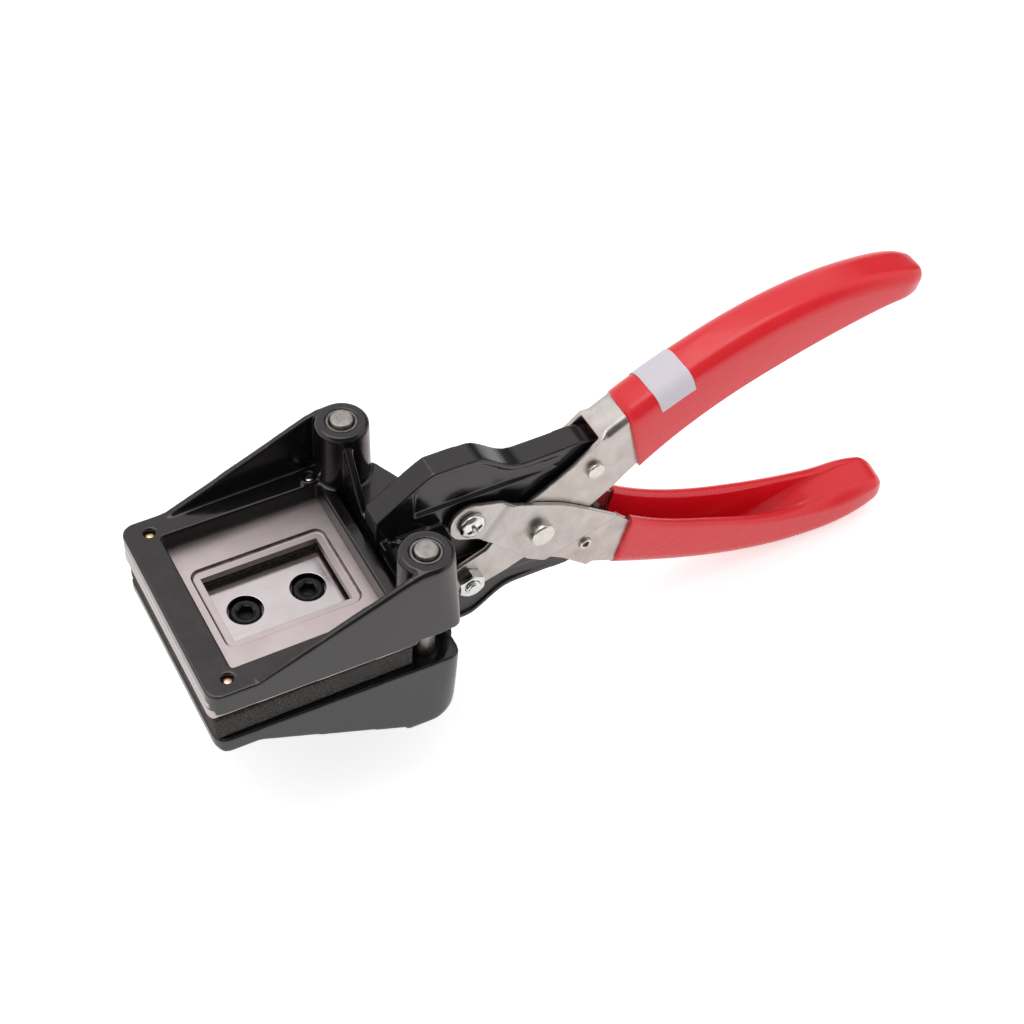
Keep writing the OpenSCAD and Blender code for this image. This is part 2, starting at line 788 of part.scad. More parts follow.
module handle(channel, rivet_hole) {
    color("#c3bab3") difference() {
        handle_blank(channel);
        cross_bar(pivot_x, -pivot_z, pivot_d + 2 * pivot_clear, -big, big);
        cross_bar(rivet_x, 0, rivet_hole, -big, big);
        cross_bar(pin_x, pin_z, pin_d, -big, big);
    }
}

module upper_handle() {
    handle(upper_channel, rivet_d + 2 * rivet_loose);
}

module lower_handle() {
    turned() handle(lower_channel, rivet_d);
}

// Outline of the grip across the handle: y, and depth below the back
function back_arc(hw, r, steps) = concat(
    [for (k = [0:steps]) let (a = 90 * k / steps) [hw - r + r * cos(a), r - r * sin(a)]],
    [for (k = [0:steps]) let (a = 90 + 90 * k / steps) [-hw + r + r * cos(a), r - r * sin(a)]]
);
function grip_section(h) = let (hw = in1 + coat_t) concat(
    [[hw - lip_r, h], [hw, h - lip_r]], back_arc(hw, grip_r, 4), [[-hw, h - lip_r], [lip_r - hw, h]]
);

// Section points set into place: top is the back's point, d the way down
function placed(section, top, d) = [for (p = section) [top.x + d.x * p.y, p.x, top.y + d.y * p.y]];

function grip_ring(channel, t) = let (
    d = depth_dir(channel, t),
    top = crown_at(channel, t) - coat_t * d
) placed(grip_section(depth_at(channel, t) + 2 * coat_t), top, d);

// Rounded end: the last section shrinks as it moves out, about a share of
// its depth
function tip_ring(channel, u, tip_l, tip_mid) = let (
    d = depth_dir(channel, 1),
    h = depth_at(channel, 1) + 2 * coat_t,
    mid = tip_mid * h,
    k = pow(1 - pow(u, 2.2), 1 / 2.2),
    top = crown_at(channel, 1) - coat_t * d + tip_l * u * [-d.y, d.x]
) placed([for (p = grip_section(h)) [p.x * k, mid + (p.y - mid) * k]], top, d);

// Hollow of the grip, open along the edge of the channel
function cavity_ring(channel, t) = let (
    d = depth_dir(channel, t),
    hw = in0 - inner_coat,
    depth = depth_at(channel, t) + 6,
    top = crown_at(channel, t) + (sheet_t + inner_coat) * d
) placed(concat([[hw, depth]], back_arc(hw, 1, 3), [[-hw, depth]]), top, d);

module grip(channel, start, tip_l, tip_mid) {
    steps = 14;
    tips = [0.25, 0.5, 0.7, 0.85, 0.95, 0.99];
    color("#c8202e") difference() {
        skin(concat(
            [for (i = [0:steps]) grip_ring(channel, start + (1 - start) * i / steps)],
            [for (u = tips) tip_ring(channel, u, tip_l, tip_mid)]
        ));
        skin([for (i = [0:steps]) cavity_ring(channel, cavity_end * i / steps)]);
        handle_blank(channel);
    }
}

module upper_grip() {
    grip(upper_channel, upper_grip_start, upper_tip_l, upper_tip_mid);
}

module lower_grip() {
    turned() grip(lower_channel, lower_grip_start, lower_tip_l, lower_tip_mid);
}

// Closed outline over the grip's back and down its near side, grown outward
// from the coat
function label_section(grow, drop) = concat(
    [for (p = back_arc(in1 + coat_t + grow, grip_r + grow, 4)) [p.x, p.y - grow]],
    [[-in1 - coat_t - grow, drop], [in1 + coat_t + grow, drop - label_rise]]
);

function label_ring(t, grow, drop) = let (d = depth_dir(upper_channel, t))
    placed(label_section(grow, drop), crown_at(upper_channel, t) - coat_t * d, d);

// Paper label wrapped over the back of the upper grip and down its near side
module size_label() {
    label_t = 0.15;
    label_gap = 0.05;
    label_at = label_inset / handle_l;
    span = label_l / norm(crown_at(upper_channel, 1) - crown_at(upper_channel, 0));
    steps = 3;
    color("#f2f0f4") difference() {
        skin([for (i = [0:steps])
            label_ring(label_at + span * i / steps, label_gap + label_t, label_drop)]);
        skin([for (i = [-1:steps + 1])
            label_ring(label_at + span * i / steps, label_gap, label_drop + 1)]);
    }
}

// Slide pin: headed on the near side, drilled at its other end
module slide_pin() {
    color("#cfc8c2") translate([pin_x, 0, pin_z]) rotate([90, 0, 0]) rotate_extrude() polygon([
        [0, 2 - in1], [pin_hole_d / 2, 2 - in1], [pin_hole_d / 2, -in1 - pin_tail],
        [pin_d / 2, -in1 - pin_tail], [pin_d / 2, in1], [pin_head_d / 2, in1],
        [pin_head_d / 2, in1 + pin_head_h - 0.3], [pin_head_d / 2 - 0.3, in1 + pin_head_h],
        [0, in1 + pin_head_h]
    ]);
}

module upper_slide_pin() {
    slide_pin();
}

module lower_slide_pin() {
    turned() slide_pin();
}

// Rivet where the handles cross, fixed in the lower handle
module pivot_rivet() {
    edge = 0.4;
    near = [out1, out1 + rivet_head_h];
    far = [-out1 - hub_gap, -out1 - hub_gap - rivet_head_h];
    color("#d6cfc8") translate([rivet_x, 0, 0]) rotate([90, 0, 0]) rotate_extrude() polygon([
        [0, far[1]], [rivet_head_d / 2 - edge, far[1]], [rivet_head_d / 2, far[1] + edge],
        [rivet_head_d / 2, far[0]], [rivet_d / 2, far[0]], [rivet_d / 2, near[0]],
        [rivet_head_d / 2, near[0]], [rivet_head_d / 2, near[1] - edge],
        [rivet_head_d / 2 - edge, near[1]], [0, near[1]]
    ]);
}

lower_casting();
near_guide_post();
far_guide_post();
punch_block();
punch_screws();
foam_pad();
return_spring();
lower_pivot_screw();
lower_pivot_nut();
upper_casting();
die_plate();
die_screws();
near_bush();
far_bush();
upper_pivot_screw();
upper_pivot_nut();
upper_handle();
upper_grip();
upper_slide_pin();
size_label();
lower_handle();
lower_grip();
lower_slide_pin();
pivot_rivet();
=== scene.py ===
import math

import bmesh
import bpy
import numpy as np
from mathutils import Matrix, Vector, noise

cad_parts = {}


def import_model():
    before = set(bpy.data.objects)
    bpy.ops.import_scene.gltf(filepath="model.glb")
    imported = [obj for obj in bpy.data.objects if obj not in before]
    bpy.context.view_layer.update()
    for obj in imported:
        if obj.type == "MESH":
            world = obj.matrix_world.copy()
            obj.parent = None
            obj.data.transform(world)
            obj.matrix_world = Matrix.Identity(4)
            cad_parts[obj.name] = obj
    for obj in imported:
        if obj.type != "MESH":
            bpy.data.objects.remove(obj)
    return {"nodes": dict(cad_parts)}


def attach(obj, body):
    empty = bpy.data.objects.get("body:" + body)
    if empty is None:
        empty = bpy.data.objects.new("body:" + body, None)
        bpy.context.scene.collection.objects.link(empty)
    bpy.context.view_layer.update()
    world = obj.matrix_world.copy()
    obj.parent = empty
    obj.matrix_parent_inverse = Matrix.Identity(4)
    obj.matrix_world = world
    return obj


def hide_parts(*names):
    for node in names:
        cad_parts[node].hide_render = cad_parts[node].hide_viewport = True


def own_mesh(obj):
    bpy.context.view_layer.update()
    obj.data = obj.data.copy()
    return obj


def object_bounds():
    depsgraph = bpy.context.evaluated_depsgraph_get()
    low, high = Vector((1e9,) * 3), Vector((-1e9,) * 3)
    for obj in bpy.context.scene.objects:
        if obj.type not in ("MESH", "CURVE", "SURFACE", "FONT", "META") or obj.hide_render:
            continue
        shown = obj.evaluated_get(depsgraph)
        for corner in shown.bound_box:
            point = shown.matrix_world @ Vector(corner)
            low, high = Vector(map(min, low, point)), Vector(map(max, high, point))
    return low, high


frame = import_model()
CAD_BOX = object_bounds()

# Lengths below are in millimetres, and MM turns them into the frame's metres.
MM = 0.001
NODES = frame["nodes"]

# Places of the mechanism, as in the part's source: along and across the tool for the posts,
# along it and above its middle plane for the pivots and the slide pins
POST = (29.6, 24.15)
BOSS_R = 7.15
BOSS_TOP = 31.0
POST_PROUD = 0.8
DIE_SCREW_X = (-23.5, 20.6)
DIE_SCREW_Y = 25.3
CAP_SCREW_X = 8.64
PIVOT = (52.0, 11.2)
PIVOT_SEAT = 6.15
RIVET_X = 72.3
PIN = (88.6, 15.0)

# Plan of the jaws: half their width at the front, and how fast their sides run out
FRONT_X = -30.0
FRONT_HALF = 30.0
FLARE = 1.3 / 59.6

# Sheet of the handles, from the middle plane outwards, and the bends along its back
SHEET_IN = 4.55
SHEET_MID = 6.05
SHEET_OUT = 7.75
SHEET = SHEET_MID - SHEET_IN
HANDLE_L = 93.4
BEND_R = 2.4

# Radius at which a turned profile closes on its axis
ON_AXIS = 0.02


# Meshes and objects

def link(obj):
    """Puts an object in the scene."""
    bpy.context.scene.collection.objects.link(obj)
    return obj


def mesh_object(name, verts, faces):
    """New object from points in millimetres."""
    mesh = bpy.data.meshes.new(name)
    mesh.from_pydata([tuple(c * MM for c in v) for v in verts], [], faces)
    bm = bmesh.new()
    bm.from_mesh(mesh)
    bmesh.ops.recalc_face_normals(bm, faces=bm.faces)
    bm.to_mesh(mesh)
    bm.free()
    return link(bpy.data.objects.new(name, mesh))


def node_copy(node, name):
    """Welded copy of a CAD node, without its triangles' inner edges."""
    source = NODES[node].data
    mesh = bpy.data.meshes.new(name)
    mesh.from_pydata(
        [v.co for v in source.vertices], [], [tuple(p.vertices) for p in source.polygons]
    )
    bm = bmesh.new()
    bm.from_mesh(mesh)
    bmesh.ops.remove_doubles(bm, verts=bm.verts, dist=0.002 * MM)
    bmesh.ops.dissolve_limit(
        bm, angle_limit=math.radians(0.6), verts=bm.verts, edges=bm.edges
    )
    bm.to_mesh(mesh)
    bm.free()
    return link(bpy.data.objects.new(name, mesh))


def apply_modifiers(obj):
    """Turns an object's modifiers into its mesh."""
    bpy.context.view_layer.update()
    graph = bpy.context.evaluated_depsgraph_get()
    mesh = bpy.data.meshes.new_from_object(obj.evaluated_get(graph))
    obj.modifiers.clear()
    obj.data = mesh


def shade(obj, angle):
    """Smooth shading, with edges sharper than the angle kept crisp."""
    obj.data.shade_smooth()
    obj.data.set_sharp_from_angle(angle=math.radians(angle))


def bevel(obj, width, segments, angle):
    """Small round on every edge sharper than the angle."""
    edge = obj.modifiers.new("edge_round", "BEVEL")
    edge.width = width * MM
    edge.segments = segments
    edge.limit_method = "ANGLE"
    edge.angle_limit = math.radians(angle)
    edge.use_clamp_overlap = True
    apply_modifiers(obj)


def even_normals(obj):
    """Flat faces stay flat beside small rounds."""
    normals = obj.modifiers.new("flat_faces", "WEIGHTED_NORMAL")
    normals.keep_sharp = True
    normals.weight = 100
    apply_modifiers(obj)


def settle(obj, material, body, slot, *nodes):
    """Gives a piece its material and its body, and hides the CAD nodes it stands for."""
    obj.data.materials.clear()
    obj.data.materials.append(material)
    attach(obj, body)
    if nodes:
        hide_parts(*nodes)
    return obj


def join(obj, *others):
    """Adds other closed meshes to an object's own."""
    bm = bmesh.new()
    bm.from_mesh(obj.data)
    for other in others:
        bm.from_mesh(other.data)
        bpy.data.objects.remove(other)
    bm.to_mesh(obj.data)
    bm.free()


def recast(obj, voxel, rounds):
    """One even skin over everything joined in an object, with softened edges."""
    remesh = obj.modifiers.new("even_skin", "REMESH")
    remesh.mode = "VOXEL"
    remesh.voxel_size = voxel * MM
    soft = obj.modifiers.new("soft_edges", "SMOOTH")
    soft.factor = 0.5
    soft.iterations = rounds
    apply_modifiers(obj)


def thin_out(obj, share):
    """Leaves a share of the faces, mostly where the surface bends."""
    fewer = obj.modifiers.new("fewer_faces", "DECIMATE")
    fewer.ratio = share
    apply_modifiers(obj)


def skin(rings, loop=False):
    """Points and faces between neighbouring closed rings of equal point counts."""
    n = len(rings[0])
    m = len(rings)
    faces = []
    for i in range(m if loop else m - 1):
        a = i * n
        b = ((i + 1) % m) * n
        for j in range(n):
            k = (j + 1) % n
            faces.append((a + j, a + k, b + k, b + j))
    if not loop:
        faces.append(tuple(reversed(range(n))))
        faces.append(tuple((m - 1) * n + j for j in range(n)))
    return [p for ring in rings for p in ring], faces


def facing_near(x, y, z):
    """Frame of a piece whose axis points at the near side."""
    return Matrix(((1, 0, 0, x), (0, 0, -1, y), (0, 1, 0, z), (0, 0, 0, 1)))


def facing_far(x, y, z):
    """Frame of a piece whose axis points at the far side."""
    return Matrix(((1, 0, 0, x), (0, 0, 1, y), (0, -1, 0, z), (0, 0, 0, 1)))


def upright(x, y, z):
    """Frame of a piece whose axis points up."""
    return Matrix.Translation((x, y, z))


def polar_ring(radius, height, segments):
    """Ring round the local Z axis; radius and height may be functions of the angle."""
    points = []
    for i in range(segments):
        a = 2 * math.pi * i / segments
        r = radius(a) if callable(radius) else radius
        h = height(a) if callable(height) else height
        points.append((r * math.cos(a), r * math.sin(a), h))
    return points


def turned(name, profile, place, segments=64, loop=False):
    """Turned piece: a list of radius and height pairs, set in its frame."""
    rings = [polar_ring(r, h, segments) for r, h in profile]
    verts, faces = skin(rings, loop)
    return mesh_object(name, [place @ Vector(v) for v in verts], faces)


def hexagon(across):
    """Radius of a hexagon at an angle, from its width across the flats."""
    def radius(a):
        turn = (a + math.pi / 6) % (math.pi / 3) - math.pi / 6
        return across / 2 / math.cos(turn)
    return radius


def cut(obj, cutter):
    """Takes one closed mesh away from another."""
    tool = obj.modifiers.new("cut", "BOOLEAN")
    tool.operation = "DIFFERENCE"
    tool.solver = "EXACT"
    tool.object = cutter
    apply_modifiers(obj)
    bpy.data.objects.remove(cutter)


def arc(cx, cy, r, start, end, steps):
    """Points on an arc, angles in degrees."""
    points = []
    for i in range(steps + 1):
        a = math.radians(start + (end - start) * i / steps)
        points.append((cx + r * math.cos(a), cy + r * math.sin(a)))
    return points


def along(curve, t):
    """Coordinates on a Bezier curve at one place, or at an array of places."""
    s = 1 - t
    weights = (s ** 3, 3 * t * s * s, 3 * t * t * s, t ** 3)
    return [sum(w * c[i] for w, c in zip(weights, curve)) for i in (0, 1)]


def bezier(curve, t):
    """Point on a Bezier curve."""
    return Vector(along(curve, t))


def ease(t):
    """Smooth rise from zero to one."""
    t = min(max(t, 0.0), 1.0)
    return t * t * (3 - 2 * t)


# Materials

class Shader:
    """Node material with a few short calls to build its detail."""

    def __init__(self, name):
        self.material = bpy.data.materials.new(name)
        self.material.use_nodes = True
        self.tree = self.material.node_tree
        self.bsdf = self.tree.nodes["Principled BSDF"]
        self.place = self.add("ShaderNodeTexCoord").outputs["Object"]

    def add(self, kind, **settings):
        node = self.tree.nodes.new(kind)
        for key, value in settings.items():
            setattr(node, key, value)
        return node

    def link(self, source, target):
        self.tree.links.new(source, target)

    def set(self, **sockets):
        """Constant values on the shader's own sockets."""
        for key, value in sockets.items():
            self.bsdf.inputs[key.replace("_", " ")].default_value = value

    def stretched(self, scale):
        """Places scaled along each axis, which draws a pattern out where the scale is small."""
        mapping = self.add("ShaderNodeMapping")
        mapping.inputs["Scale"].default_value = scale
        self.link(self.place, mapping.inputs["Vector"])
        return mapping.outputs["Vector"]

    def noise(self, size, detail=3.0, rough=0.55, stretch=None):
        """Noise whose blobs are about size millimetres across."""
        node = self.add("ShaderNodeTexNoise")
        node.inputs["Scale"].default_value = 1 / (size * MM)
        node.inputs["Detail"].default_value = detail
        node.inputs["Roughness"].default_value = rough
        self.link(self.stretched(stretch) if stretch else self.place, node.inputs["Vector"])
        return node.outputs["Fac"]

    def cells(self, size):
        """Cells about size millimetres across: the distance from their middles."""
        node = self.add("ShaderNodeTexVoronoi")
        node.inputs["Scale"].default_value = 1 / (size * MM)
        self.link(self.place, node.inputs["Vector"])
        return node.outputs["Distance"]

    def range(self, value, low, high, to_low, to_high):
        """A value's range mapped to another one."""
        node = self.add("ShaderNodeMapRange")
        node.inputs["From Min"].default_value = low
        node.inputs["From Max"].default_value = high
        node.inputs["To Min"].default_value = to_low
        node.inputs["To Max"].default_value = to_high
        self.link(value, node.inputs["Value"])
        return node.outputs["Result"]

    def math(self, operation, a, b):
        node = self.add("ShaderNodeMath", operation=operation)
        for i, value in enumerate((a, b)):
            if isinstance(value, (int, float)):
                node.inputs[i].default_value = value
            else:
                self.link(value, node.inputs[i])
        return node.outputs["Value"]

    def mix(self, factor, a, b):
        """Mix of two colours, each a constant or a socket."""
        node = self.add("ShaderNodeMix", data_type="RGBA")
        self.link(factor, node.inputs["Factor"])
        for index, value in ((6, a), (7, b)):
            if isinstance(value, tuple):
                node.inputs[index].default_value = (*value, 1)
            else:
                self.link(value, node.inputs[index])
        return node.outputs[2]

    def axis(self, name):
        node = self.add("ShaderNodeSeparateXYZ")
        self.link(self.place, node.inputs["Vector"])
        return node.outputs[name]

    def off_middle(self, name):
        """Distance from the middle plane across an axis."""
        return self.math("ABSOLUTE", self.axis(name), 0.0)

    def within(self, value, low, high, soft):
        """One between two places in millimetres, zero outside them."""
        rise = self.range(value, (low - soft) * MM, low * MM, 0, 1)
        fall = self.range(value, high * MM, (high + soft) * MM, 1, 0)
        return self.math("MULTIPLY", rise, fall)

    def bump(self, height, depth):
        """Bump of depth millimetres; calls stack."""
        node = self.add("ShaderNodeBump")
        node.inputs["Strength"].default_value = 1.0
        node.inputs["Distance"].default_value = depth * MM
        self.link(height, node.inputs["Height"])
        normal = self.bsdf.inputs["Normal"]
        if normal.is_linked:
            self.link(normal.links[0].from_socket, node.inputs["Normal"])
        self.link(node.outputs["Normal"], normal)

    def colour(self, socket):
        self.link(socket, self.bsdf.inputs["Base Color"])

    def rough(self, socket):
        self.link(socket, self.bsdf.inputs["Roughness"])


def paint():
    """Glossy black paint on a die casting, ground bare along the front edge."""
    s = Shader("black_paint")
    cloud = s.noise(14, 3)
    dust = s.noise(0.7, 4, 0.65)
    black = s.mix(cloud, (0.0035, 0.0035, 0.0042), (0.0065, 0.006, 0.007))
    black = s.mix(s.range(dust, 0.70, 0.84, 0, 0.12), black, (0.10, 0.095, 0.09))
    height = s.axis("Z")
    front = s.within(s.axis("X"), FRONT_X - 2, FRONT_X + 0.25, 0.25)
    front = s.math("MULTIPLY", front, s.within(height, 2.4, 8.6, 0.4))
    slant = s.math("MULTIPLY", s.axis("X"), -FLARE)
    reach = s.math("ADD", s.off_middle("Y"), slant)
    side = s.math("MULTIPLY", s.within(reach, 30.4, 34, 0.15), s.within(height, 4.0, 5.35, 0.25))
    side = s.math("MULTIPLY", side, s.within(s.axis("X"), -40, 16, 8))
    bare = s.math("MAXIMUM", front, side)
    streak = s.noise(1.2, 3, 0.6, (1, 0.06, 1))
    steel = s.mix(streak, (0.42, 0.39, 0.37), (0.66, 0.62, 0.58))
    s.colour(s.mix(bare, black, steel))
    s.link(bare, s.bsdf.inputs["Metallic"])
    gloss = s.range(s.noise(5, 4), 0.3, 0.7, 0.12, 0.24)
    gloss = s.math("ADD", gloss, s.math("MULTIPLY", bare, 0.22))
    s.rough(gloss)
    s.set(IOR=1.58, Specular_Tint=(1.0, 0.94, 0.92, 1.0))
    s.bump(s.noise(1.6, 2), 0.022)
    s.bump(s.noise(0.35, 2), 0.004)
    return s.material


def ground_steel(name, light, dark, lines, low, high):
    """Surface-ground tool steel with fine lines, stains, a few specks, and a dark line of dirt and
    painted shade in the pocket's corner.
    """
    s = Shader(name)
    s.set(Metallic=1.0)
    streak = s.noise(0.5, 4, 0.7, lines)
    fine = s.noise(0.12, 3, 0.6, lines)
    stain = s.noise(9, 4, 0.6)
    base = s.mix(streak, dark, light)
    base = s.mix(s.range(stain, 0.35, 0.7, 0, 0.4), base, tuple(0.8 * c for c in dark))
    speck = s.range(s.noise(0.5, 2), 0.74, 0.8, 0, 0.8)
    # Dark line round the pocket's fillet: partly dirt in the corner, partly painted shade along the
    # pocket wall
    corner_dirt_and_shade = s.within(s.axis("Z"), 5.64, 6.3, 0.03)
    corner_dirt_and_shade = s.math("MULTIPLY", corner_dirt_and_shade, s.within(s.off_middle("X"), -1, 19, 0.3))
    corner_dirt_and_shade = s.math("MULTIPLY", corner_dirt_and_shade, s.within(s.off_middle("Y"), -1, 14, 0.3))
    corner_dirt_and_shade = s.math("MULTIPLY", corner_dirt_and_shade, s.range(s.noise(3, 3), 0.3, 0.6, 0.35, 0.75))
    s.colour(s.mix(s.math("MAXIMUM", speck, corner_dirt_and_shade), base, (0.08, 0.07, 0.065)))
    s.rough(s.range(streak, 0.3, 0.7, low, high))
    s.bump(streak, 0.003)
    s.bump(fine, 0.0015)
    return s.material


def plated_steel(name, light, dark, low, high, cloud=6.0):
    """Plated steel with soft clouds, faint rolling marks and small scuffs."""
    s = Shader(name)
    s.set(Metallic=1.0)
    mottle = s.noise(cloud, 5, 0.62)
    grain = s.noise(0.3, 3, 0.6)
    base = s.mix(s.range(mottle, 0.3, 0.7, 0, 1), dark, light)
    scuff = s.range(s.noise(1.1, 4, 0.7, (1, 0.15, 0.4)), 0.62, 0.76, 0, 0.35)
    s.colour(s.mix(scuff, base, tuple(0.62 * c for c in dark)))
    s.rough(s.range(mottle, 0.3, 0.7, low, high))
    s.bump(grain, 0.005)
    s.bump(mottle, 0.02)
    return s.material


def dipped_grip():
    """Glossy dipped coat, with soft ripples and a little haze."""
    s = Shader("red_dip")
    s.set(Coat_Weight=0.2, Coat_Roughness=0.08)
    cloud = s.noise(16, 3)
    s.colour(s.mix(cloud, (0.70, 0.006, 0.014), (0.77, 0.010, 0.021)))
    s.rough(s.range(s.noise(7, 4), 0.3, 0.7, 0.2, 0.34))
    s.bump(s.noise(9, 2), 0.05)
    s.bump(s.noise(0.9, 3), 0.006)
    return s.material


def sponge():
    """Open-cell black sponge, its pores painted darker as shade."""
    s = Shader("black_sponge")
    pore = s.cells(0.55)
    grit = s.noise(0.3, 3, 0.7)
    # The middle of each pore is painted darker: painted shade in the open pores
    base = s.mix(s.range(pore, 0.1, 0.6, 0, 1), (0.006, 0.006, 0.006), (0.045, 0.042, 0.038))
    s.colour(s.mix(s.range(grit, 0.56, 0.68, 0, 0.9), base, (0.21, 0.185, 0.165)))
    s.rough(s.range(grit, 0.3, 0.7, 0.8, 1.0))
    s.bump(pore, 0.3)
    s.bump(grit, 0.1)
    return s.material


def paper():
    """Coated paper of the bare label."""
    s = Shader("label_paper")
    fibre = s.noise(0.4, 4, 0.7)
    s.colour(s.mix(s.noise(3, 3), (0.61, 0.565, 0.625), (0.69, 0.64, 0.695)))
    s.rough(s.range(fibre, 0.3, 0.7, 0.42, 0.6))
    s.bump(fibre, 0.008)
    return s.material


def oxide():
    """Black oxide finish of the cap screws."""
    s = Shader("black_oxide")
    worn = s.noise(0.8, 4, 0.65)
    s.set(Metallic=0.6)
    s.colour(s.mix(s.range(worn, 0.5, 0.8, 0, 1), (0.012, 0.012, 0.013), (0.06, 0.058, 0.055)))
    s.rough(s.range(worn, 0.3, 0.7, 0.28, 0.48))
    s.bump(s.noise(0.25, 2), 0.004)
    return s.material


def floor_white():
    """Pale floor: white to the camera and in reflections, and it keeps the shadow."""
    s = Shader("floor_white")
    s.set(Base_Color=(0.9, 0.9, 0.9, 1), Roughness=0.9, Emission_Color=(1, 1, 1, 1))
    path = s.add("ShaderNodeLightPath")
    mirrored = s.math("MAXIMUM", path.outputs["Is Glossy Ray"], path.outputs["Is Transmission Ray"])
    mirrored = s.math("MULTIPLY", mirrored, 0.3)
    seen = s.math("MULTIPLY", path.outputs["Is Camera Ray"], 0.5)
    s.link(s.math("MAXIMUM", seen, mirrored), s.bsdf.inputs["Emission Strength"])
    s.bump(s.noise(2, 2), 0.02)
    return s.material


PAINT = paint()
DIE_STEEL = ground_steel(
    "die_steel", (0.60, 0.515, 0.515), (0.47, 0.40, 0.40), (0.05, 1, 1), 0.38, 0.52
)
PUNCH_STEEL = ground_steel(
    "punch_steel", (0.70, 0.635, 0.65), (0.62, 0.555, 0.57), (0.05, 1, 1), 0.12, 0.2
)
POST_STEEL = plated_steel("post_steel", (0.42, 0.39, 0.37), (0.24, 0.22, 0.21), 0.3, 0.48, 1.2)
BUSH_STEEL = plated_steel("bush_steel", (0.24, 0.22, 0.225), (0.13, 0.12, 0.122), 0.3, 0.45, 1.2)
HANDLE_STEEL = plated_steel("satin_nickel", (0.60, 0.56, 0.535), (0.43, 0.38, 0.35), 0.26, 0.42, 7.0)
RIVET_STEEL = plated_steel("bright_nickel", (0.76, 0.73, 0.68), (0.60, 0.56, 0.51), 0.2, 0.34, 2.0)
ZINC = plated_steel("bright_zinc", (0.82, 0.82, 0.81), (0.64, 0.64, 0.63), 0.12, 0.24, 1.5)
BRASS = plated_steel("brassy_plate", (0.74, 0.60, 0.32), (0.52, 0.40, 0.18), 0.2, 0.36, 1.0)
COPPER = plated_steel("coppery_plate", (0.78, 0.52, 0.40), (0.55, 0.34, 0.25), 0.2, 0.36, 1.0)
WIRE = plated_steel("spring_wire", (0.50, 0.49, 0.48), (0.34, 0.33, 0.32), 0.25, 0.4, 1.0)
OXIDE = oxide()
GRIP_RED = dipped_grip()
SPONGE = sponge()
PAPER = paper()


# Castings and the die set

def side_at(x):
    """Half width of a jaw at a place along it."""
    return FRONT_HALF + FLARE * (x - FRONT_X)


def rib_crest(side):
    """Top of an upper side rib where it flows into its boss."""
    foot = 8
    width = 2
    chamfer = 0.8
    rings = []
    for x, top in ((-17.5, 12.3), (22.0, 29.8), (25.1, 30.85), (POST[0], BOSS_TOP)):
        y = side_at(x)
        section = [(y - width, foot), (y, foot), (y, top - chamfer), (y - chamfer, top), (y - width, top)]
        rings.append([(x, side * across, z) for across, z in section])
    return mesh_object("rib_crest", *skin(rings))


def boss_ring(side, way, z, rx, ry, power):
    """Outer and rear part of a boss at one height, squarer for a higher power.

    Ahead of the post the outer side runs straight on, flush with the wall of the rib.
    """
    core = 5.2
    last = 130 if way > 0 else 180
    outer = []
    inner = []
    for degrees in range(-80, last + 1, 10):
        a = math.radians(degrees)
        c = math.cos(a)
        s = math.sin(a)
        p = 2 / power if c > 0 and s > 0 else 1
        wall = ry + FLARE * rx * c
        round_y = ry * math.copysign(abs(s) ** p, s)
        outer.append((rx * math.copysign(abs(c) ** p, c), wall if c < 0 < s else round_y))
        inner.append((core * c, core * s))
    plan = outer + inner[::-1]
    return [(POST[0] + x, side * (POST[1] + y), way * z) for x, y in plan]


# Height of the upper bosses' undersides
UNDER_BOSS = 6.1


def upper_corner(side):
    """Drafted rear corner of an upper boss, square at the rim and round at the top.

    Each row gives a height, the reach to the rear and to the side, and the power.
    """
    rows = (
        (UNDER_BOSS, 7.9, BOSS_R, 5.0), (13, 7.75, BOSS_R, 3.6),
        (22, 7.45, BOSS_R, 2.6), (30.1, BOSS_R, BOSS_R, 2.0)
    )
    return mesh_object("upper_corner", *skin([boss_ring(side, 1, *row) for row in rows]))


def lower_corner(side):
    """Drafted rear corner of a lower boss, square at the rim and round at the foot.

    The rows are as for an upper boss.
    """
    rows = (
        (5.9, 7.9, BOSS_R, 5.0), (14, 8.3, BOSS_R, 3.6), (22, 8.5, BOSS_R, 2.8),
        (26.5, 8.5, BOSS_R, 2.5), (28.6, 8.2, BOSS_R, 2.4), (29.9, 7.6, 7.1, 2.2),
        (30.8, 6.7, 6.85, 2.0)
    )
    return mesh_object("lower_corner", *skin([boss_ring(side, -1, *row) for row in rows]))


def box(name, low, high):
    """Plain block between two corners."""
    ends = [[(x, low[1], low[2]), (x, high[1], low[2]), (x, high[1], high[2]), (x, low[1], high[2])]
            for x in (low[0], high[0])]
    return mesh_object(name, *skin(ends))


def under_boss(side):
    """Block cut from an upper boss, whose underside lies higher than the rim's."""
    first = 24.6
    last = 46
    low, high = sorted((16.5 * side, 40 * side))
    return box("under_boss", (first, low, 3), (last, high, UNDER_BOSS))


def panel_end(side, way):
    """Slope that lets the sunk panel of an arm's side run out towards the grips."""
    first = 63.0
    last = 80.5
    sunk = 2.2
    foot = 17.0
    ends = []
    for x, out, top in ((first, 2.4, 23.6), (last, 3.5, 22.8)):
        section = [(sunk, foot), (out, foot), (out, top), (sunk, top)]
        ends.append([(x, side * y, way * z) for y, z in section])
    return mesh_object("panel_end", *skin(ends))


def casting(node, name, body, cutters, extra):
    """Cast copy of a jaw: soft outer edges and small fillets in the corners."""
    obj = node_copy(node, name)
    for cutter in cutters:
        cut(obj, cutter)
    join(obj, *extra)
    recast(obj, voxel=0.34, rounds=7)
    thin_out(obj, share=0.22)
    shade(obj, angle=60)
    even_normals(obj)
    return settle(obj, PAINT, body, "casting", node)


